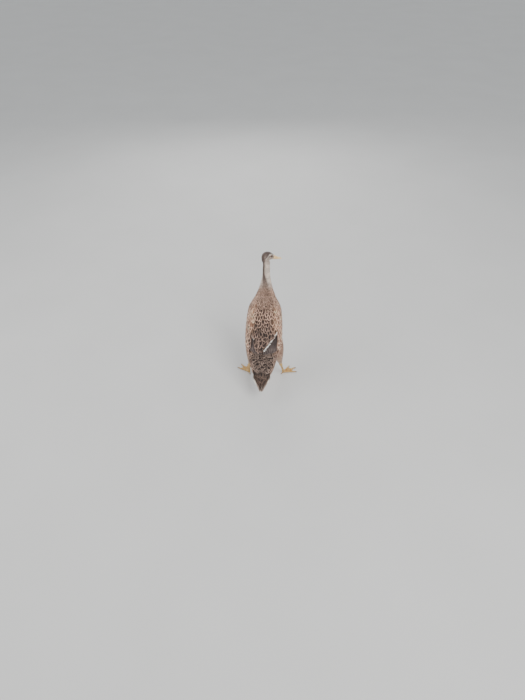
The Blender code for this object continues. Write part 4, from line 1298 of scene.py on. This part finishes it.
# Tail: pairs of numbers are for the outermost pair of feathers and the innermost
Fan = namedtuple(
    "Fan", "name pairs root_sides tip_sides starts lengths levels half shape look inner_rim ragged"
)
TAIL_LOOK = Look(*shade((60, 47, 41), (232, 224, 210)), 0.80, 0.0, 0.0)
TAIL_COVERT = Look(*shade((38, 28, 23), (94, 73, 61)), 0.80, 0.2, 0.0)
UNDER_COVERT = Look(*shade((150, 126, 110), (214, 196, 178)), 0.72, 0.3, 0.0)
FANS = (
    Fan("rectrices", 8, (0.0290, 0.0036), (0.0150, 0.0034), (0.008, 0.008), (0.048, 0.0725),
        (-0.0046, 0.0040), 0.0072, POINTED, TAIL_LOOK, paint(158, 138, 124), 0.012),
    Fan("long_tail_coverts", 8, (0.0290, 0.0020), (0.0180, 0.0020), (0.002, 0.006), (0.036, 0.050),
        (0.0024, 0.0072), 0.0050, POINTED, TAIL_COVERT, paint(94, 73, 61), 0.09),
    Fan("tail_coverts", 8, (0.0310, 0.0026), (0.0220, 0.0026), (-0.012, -0.008), (0.024, 0.035),
        (0.0064, 0.0104), 0.0050, ROUND, TAIL_COVERT, paint(104, 82, 70), 0.16),
    Fan("short_tail_coverts", 8, (0.0320, 0.0020), (0.0245, 0.0020), (-0.024, -0.020), (0.012, 0.021),
        (0.0096, 0.0136), 0.0050, ROUND, TAIL_COVERT, paint(114, 92, 79), 0.26),
    Fan("under_tail_coverts", 5, (0.0270, 0.0030), (0.0160, 0.0030), (-0.004, 0.002), (0.036, 0.050),
        (-0.0080, -0.0105), 0.0070, ROUND, UNDER_COVERT, paint(214, 196, 178), 0.012),
    Fan("vent_feathers", 5, (0.0300, 0.0030), (0.0220, 0.0030), (-0.018, -0.014), (0.018, 0.028),
        (-0.0125, -0.0165), 0.0070, ROUND, UNDER_COVERT, paint(214, 196, 178), 0.012),
)
FAN_ROOT_SUNK = 0.0025
FAN_BOW, FAN_TILT = 0.10, 0.0007
PALE_EDGE_WIDER = 0.24


def upside(fan):
    """1 for feathers over the tail, and -1 for those under it."""
    return -1.0 if fan.levels[0] < -0.006 else 1.0


def fan_grid(fan):
    """The vanes of one layer of the tail, on both sides of its middle."""
    steps, columns = LONG.steps, LONG.columns
    share = np.tile(np.linspace(0, 1, fan.pairs), 2)[:, None]
    sides = np.repeat([-1.0, 1.0], fan.pairs)[:, None]

    def spread(pair):
        return pair[0] + (pair[1] - pair[0]) * share

    jitter = RANDOM.normal(0.0, 0.0006, share.shape)
    middle = spread(fan.root_sides) + (spread(fan.tip_sides) - spread(fan.root_sides)) * steps
    middle = sides * middle + jitter
    reach = spread(fan.lengths) * RANDOM.normal(1.0, fan.ragged, share.shape)
    run = spread(fan.starts) + (reach - spread(fan.starts)) * steps
    sink = FAN_ROOT_SUNK * (1.0 - np.minimum(1.0, steps / 0.4)) * upside(fan)
    level = spread(fan.levels) - sink + np.where(sides > 0, 0.0003, 0.0)
    half = fan.half * outline(fan.shape, steps)[None, :, None]
    side_at = middle[..., None] + half * columns
    bow = -FAN_BOW * half * np.maximum(0.0, columns * sides[..., None])
    tilt = -columns * sides[..., None] * FAN_TILT * (1.0 - share[..., None])
    level = level[..., None] + (bow + tilt) * upside(fan)
    return tail_points(side_at, run[..., None] + 0.0 * side_at, level)


def make_tail(finish):
    for fan in FANS:
        grid = fan_grid(fan)
        count = len(grid)
        out = np.broadcast_to(TAIL_BACK * upside(fan), (count, len(LONG.steps), 3))
        root_sides = grid[:, 0, len(LONG.columns) // 2, 0]
        angle = np.arctan2(root_sides, 0.02 * upside(fan))
        looks = tier_looks(fan.look, np.linspace(0.0, 0.012, count), angle)
        inner = np.tile(smooth_step(0.1, 0.5, np.linspace(0, 1, fan.pairs)), 2)
        looks["rim"] = looks["rim"] * (1.0 - inner[:, None]) + fan.inner_rim * inner[:, None]
        if fan.look is TAIL_LOOK:
            looks["lace"] = looks["lace"] - PALE_EDGE_WIDER * (1.0 - inner)
        dress(vane_mesh(fan.name, grid, out, LONG, looks), finish, "plumage", "tail")


# Head parts
MOUTH = ((BILL_ROOT, -0.0050), (0.0480, -0.0066), (0.0700, -0.0072), (0.0860, -0.0066))
UPPER_BILL = (
    Section(BILL_ROOT, 0.0104, 0.0094, 0.0),
    Section(0.0360, 0.0100, 0.0068, 0.0),
    Section(0.0460, 0.0096, 0.0034, 0.0),
    Section(0.0580, 0.0098, 0.0000, 0.0),
    Section(0.0700, 0.0108, -0.0022, 0.0),
    Section(0.0790, 0.0110, -0.0032, 0.0),
    Section(0.0840, 0.0088, -0.0042, 0.0),
    Section(0.0866, 0.0040, -0.0056, 0.0),
)
LOWER_BILL = (
    Section(BILL_ROOT, 0.0086, 0.0, -0.0112),
    Section(0.0400, 0.0082, 0.0, -0.0112),
    Section(0.0560, 0.0080, 0.0, -0.0106),
    Section(0.0700, 0.0086, 0.0, -0.0098),
    Section(0.0790, 0.0080, 0.0, -0.0090),
    Section(0.0826, 0.0044, 0.0, -0.0082),
)
BILL_CREASE = 40.0
BILL_NAIL = (0.0822, 0.0, -0.0047)
NOSTRIL_RUN, NOSTRIL_SIDE, NOSTRIL_RISE = 0.0415, 0.0078, 0.0028
NOSTRIL_RADII = (0.0026, 0.0036, 0.0014)
EYE_CREASE = 80.0


def bill_rings(table, upper):
    """Rings of half of the bill: a curved side, and a slightly hollow face along the line of the mouth."""
    rings = []
    for s in sections(table, 46):
        edge = float(np.interp(s.run, *zip(*MOUTH)))
        turns = np.linspace(0, math.pi, 27)
        ridge = max(s.top, edge + 0.0011) - edge if upper else min(s.bottom, edge - 0.0009) - edge
        side = s.half_width * swelled(np.cos(turns), 0.85 if upper else 1.0)
        rise = edge + ridge * np.sin(turns) ** (0.9 if upper else 0.8) + (0.0002 if upper else 0.0)
        mouth = np.linspace(-0.92, 0.92, 9)
        hollow = edge + (0.0007 if upper else -0.0007) * (1 - mouth**2)
        halves = head_points(s.run, side, rise), head_points(s.run, s.half_width * mouth, hollow)
        rings.append(np.concatenate(halves))
    return rings


def cut_nostrils(bill):
    cutters = []
    for side in (-1, 1):
        place = (NOSTRIL_RUN, side * NOSTRIL_SIDE, NOSTRIL_RISE)
        cutter = new_object("nostril cutter", *tube_mesh(head_ball(place, NOSTRIL_RADII)))
        cut = bill.modifiers.new("Nostril", "BOOLEAN")
        cut.operation, cut.object, cut.solver = "DIFFERENCE", cutter, "EXACT"
        cutters.append(cutter)
    apply_modifiers(bill)
    for cutter in cutters:
        bpy.data.objects.remove(cutter)
    return smooth(outward(bill), BILL_CREASE)


def make_bill(finish):
    for half, table, upper in (("upper", UPPER_BILL, True), ("lower", LOWER_BILL, False)):
        piece = closed(f"horn_{half}", bill_rings(table, upper), BILL_CREASE)
        if upper:
            cut_nostrils(piece)
        dress(piece, finish, "bill_horn", f"bill_{half}")


def make_nail(finish):
    """The hard tip of the upper bill."""
    dress(closed("bill_nail", head_ball(BILL_NAIL, (0.0036, 0.0050, 0.0015))), finish, "claw_horn")


def make_eyes(surface, finish):
    for name, side in (("right", -1), ("left", 1)):
        centre = eye_centre(side)
        eye = closed(f"wet_eye_{name}", ball(centre, (EYE_RADIUS,) * 3, sides=48, rings=32), EYE_CREASE)
        dress(eye, eye_finish(side), "eye", f"eye_{name}")
        lids = outward(new_object(f"eyelids_{name}", *lid_mesh(surface, centre, side)))
        dress(smooth(lids, EYE_CREASE), finish, "plumage")


# Eyelids
LID_STEPS = 56
LID_TALL, LID_LONG = math.radians(43.0), math.radians(54.0)
LID_REACH, LID_RISE, LID_FOLD, LID_SWELL = 0.0066, 0.00045, 0.00012, 0.0004


def lid_mesh(surface, centre, side):
    """Folded skin from the eye's opening out to the head's own skin, with a point in front and behind."""
    turns = around(LID_STEPS)
    axis = HEAD_AXES @ np.array([side, 0.0, 0.0])
    across = np.stack([0.0 * turns, -np.cos(turns), np.sin(turns)], 1) @ HEAD_AXES.T
    opening = LID_TALL + (LID_LONG - LID_TALL) * np.abs(np.cos(turns)) ** 3
    inner = centre + across * (EYE_RADIUS * np.sin(opening))[:, None]
    inner = inner + axis * (EYE_RADIUS * np.cos(opening))[:, None]
    outer, out = surface.settle(centre + across * LID_REACH + axis * EYE_RADIUS * 0.65)
    outer = outer - out * 0.0004
    share = np.linspace(0.0, 1.0, 12)[None, :, None]
    swell = LID_RISE * (1.0 - share) + LID_SWELL * np.sin(math.pi * share)
    folds = LID_FOLD * np.sin(share * 6.0 * math.pi) * (1.0 - share)
    top = inner[:, None] * (1.0 - share) + outer[:, None] * share + axis * (swell + folds) - centre
    away = np.linalg.norm(top, axis=-1, keepdims=True)
    top = centre + top * np.maximum(1.0, (EYE_RADIUS + LID_RISE) / away)
    closing = np.stack([outer - axis * 0.0010, inner - axis * 0.0006], 1)
    rings = np.concatenate([top, closing], axis=1)
    count = rings.shape[1]
    faces = []
    for k in range(LID_STEPS):
        low, high = k * count, (k + 1) % LID_STEPS * count
        faces += [(low + i, low + (i + 1) % count, high + (i + 1) % count, high + i) for i in range(count)]
    return rings.reshape(-1, 3), faces


# Legs and feet
Toe = namedtuple("Toe", "name turn length radius claw")
TOES = (
    Toe("inner", 27.0, 0.0400, 0.0030, 0.0072),
    Toe("middle", 0.0, 0.0530, 0.0032, 0.0072),
    Toe("outer", -25.0, 0.0500, 0.0030, 0.0072),
    Toe("hind", 196.0, 0.0125, 0.0020, 0.0046),
)
HEEL_AHEAD, HEEL_HEIGHT = 0.010, 0.0046
JOINT_BELOW_HOCK = 0.0055
WEB_REACH, WEB_SCALLOP = 0.93, 0.20
WEB_TOP, WEB_UNDERSIDE = 0.0013, 0.0001

# The shank: points inside the thigh, then shares of the way from joint to ankle, then the heel
SHANK_ABOVE_HOCK = (0.014, 0.004)
SHANK_SHARES = np.array([0.0, 0.12, 0.3, 0.6, 0.85, 1.0])
SHANK_RADII = (0.0050, 0.0058, 0.0068, 0.0060, 0.0044, 0.0038, 0.0044, 0.0051, 0.0054)


def toe_direction(leg, toe):
    """The way along the floor that a toe points."""
    angle = math.radians(leg.heading - toe.turn) * leg.side
    return np.array([math.sin(angle), -math.cos(angle), 0.0])


def joint_of(leg):
    """The middle of the hock's joint, and the way down to it from the knee."""
    knee, hock = np.array(leg.knee), np.array(leg.hock)
    down = normalised(hock - knee)
    return hock + down * JOINT_BELOW_HOCK, down


def heel_of(leg, above):
    """Where the toes meet on the floor: on from the ankle, in line with a point above it."""
    ankle = np.array(leg.ankle)
    line = normalised(ankle - np.array(above))
    return np.array([*(ankle[:2] + line[:2] * HEEL_AHEAD), 0.0])


def web_rings(heel, tips):
    """The web as a thin slab through points from toe to toe, ring by ring away from the heel."""
    rim = []
    for start, end in ((tips[0], tips[1]), (tips[1], tips[2])):
        for u in np.linspace(0, 1, 10)[: 10 if end is tips[2] else 9]:
            edge = start + (end - start) * u
            rim.append(heel + (edge - heel) * (WEB_REACH - WEB_SCALLOP * math.sin(math.pi * u)))
    rim = np.array(rim)
    rings = []
    for share in np.linspace(0.04, 1.0, 12):
        low = heel + (rim - heel) * share
        rings.append(np.concatenate([low + (0, 0, WEB_TOP), (low + (0, 0, WEB_UNDERSIDE))[::-1]]))
    return rings


def shank_rings(leg):
    """From inside the thigh, round the hock and down to the heel."""
    hock = np.array(leg.hock)
    joint, down = joint_of(leg)
    upper = [hock - down * above for above in SHANK_ABOVE_HOCK]
    lower = joint + (np.array(leg.ankle) - joint) * SHANK_SHARES[:, None]
    path = np.vstack([*upper, lower, heel_of(leg, joint) + (0, 0, HEEL_HEIGHT)])
    return lengthwise(path, SHANK_RADII, 20)


def toe_rings(toe, heel, way):
    """A toe along the floor, thinner towards its end and thicker at each knuckle."""
    u = np.linspace(0, 1, 26)
    knuckle = 1.0 + 0.13 * np.cos((u - 0.34) * math.pi * 2 * 2.9) * (u > 0.15)
    radii = toe.radius * (1.12 - 0.42 * u) * knuckle
    path = heel + way * (toe.length * u)[:, None]
    path[:, 2] = radii * 0.96
    return lengthwise(path, radii, 16, 0.92)


def make_leg(leg, finish):
    """Shank, toes and web as one skin, flat underneath."""
    heel = heel_of(leg, joint_of(leg)[0])
    ways = [toe_direction(leg, toe) for toe in TOES]
    tips = [heel + way * toe.length for toe, way in zip(TOES, ways)]
    toes = [toe_rings(toe, heel, way) for toe, way in zip(TOES, ways)]
    shells = [shank_rings(leg), *toes, web_rings(heel, tips[:3])]
    piece = blended(f"leg_{leg.name}", shells, LEG_VOXEL, 2)
    places = read_vectors(piece.data.vertices, "co")
    places[:, 2] = np.maximum(places[:, 2], 0.0)
    piece.data.vertices.foreach_set("co", places.ravel())
    piece.data.update()
    dress(piece, finish, "leg_skin", f"shank_{leg.name}", f"foot_{leg.name}")


def make_claws(leg, finish):
    """A curved claw on the end of each toe."""
    heel = heel_of(leg, leg.hock)
    for toe in TOES:
        way = toe_direction(leg, toe)
        u = np.linspace(0, 1, 12)
        path = heel + way * (toe.length - 0.0008) + way * (toe.claw * u)[:, None]
        path[:, 2] = 0.0021 + 0.0006 * np.sin(u * math.pi * 0.8) - 0.0012 * u
        radii = 0.0016 * (1 - u) ** 0.7 + 0.0002
        piece = closed(f"nail_{leg.name}_{toe.name}", lengthwise(path, radii, 14))
        dress(piece, finish, "claw_horn", f"claw_{leg.name}_{toe.name}")


# Floor, light and camera
LAMP_AIM = Vector((0, 0, 0.25))
SKY, SKY_STRENGTH = (0.92, 0.96, 1.0, 1.0), 0.75
Lamp = namedtuple("Lamp", "name place size power")
LAMPS = (
    Lamp("key", (-1.2, 1.6, 2.6), 1.4, 62.0),
    Lamp("fill", (1.8, 0.6, 1.8), 1.8, 22.0),
    Lamp("front", (0.3, -2.2, 1.5), 1.6, 20.0),
)


def make_floor():
    bpy.ops.mesh.primitive_plane_add(size=60.0, location=(0, 0, 0))
    floor = bpy.context.object
    floor.name = "floor"
    finish = Finish("pale floor", Roughness=0.9)
    finish.feed("Base Color", finish.mix(finish.noise(3.0), (0.62, 0.61, 0.59), (0.68, 0.67, 0.65)))
    floor.data.materials.append(finish.material)


def make_lights():
    world = bpy.data.worlds.new("studio")
    world.use_nodes = True
    sky = world.node_tree.nodes["Background"]
    sky.inputs[0].default_value, sky.inputs[1].default_value = SKY, SKY_STRENGTH
    bpy.context.scene.world = world
    for lamp in LAMPS:
        light = bpy.data.lights.new(lamp.name, "AREA")
        light.size, light.energy = lamp.size, lamp.power
        obj = bpy.data.objects.new(lamp.name, light)
        obj.location = lamp.place
        obj.rotation_euler = (LAMP_AIM - Vector(lamp.place)).to_track_quat("-Z", "Y").to_euler()
        bpy.context.scene.collection.objects.link(obj)


def make_camera():
    """Stands behind and above the duck, as the photograph's did."""
    sine, cosine = math.sin(CAMERA_TURN), math.cos(CAMERA_TURN)
    ahead = Vector((sine, -cosine, 0.0))
    right = Vector((-cosine, -sine, 0.0))
    camera = bpy.data.objects.new("camera", bpy.data.cameras.new("camera"))
    camera.data.sensor_width = SENSOR
    camera.data.lens = FOCAL_PIXELS / PICTURE_HEIGHT * SENSOR
    camera.location = Vector(SHIFT) - ahead * CAMERA_AWAY - right * CAMERA_ASIDE
    camera.location.z += CAMERA_HEIGHT
    look = ahead * math.cos(CAMERA_PITCH) + Vector((0, 0, -math.sin(CAMERA_PITCH)))
    camera.rotation_euler = look.to_track_quat("-Z", "Y").to_euler()
    bpy.context.scene.collection.objects.link(camera)
    bpy.context.scene.camera = camera


def main():
    surface = make_skin()
    body_finish = feather_finish("body feathers", 26.0, 0.72)
    fine_finish = feather_finish("small feathers", 12.0, 0.75)
    flight_finish = feather_finish("wing feathers", 60.0, 0.62)
    make_small_feathers(surface, body_finish, fine_finish)
    make_flight_feathers("wing_right", -1, flight_finish)
    make_flight_feathers("wing_left", 1, flight_finish)
    make_coverts(body_finish)
    make_tail(flight_finish)
    make_bill(bill_finish())
    claw = claw_finish("claw horn", paint(96, 76, 58), paint(150, 122, 92))
    make_nail(claw_finish("bill nail", paint(160, 128, 88), paint(190, 158, 114)))
    make_eyes(surface, lid_finish())
    legs = leg_finish()
    for leg in LEGS:
        make_leg(leg, legs)
        make_claws(leg, claw)
    make_floor()
    make_lights()
    make_camera()


main()
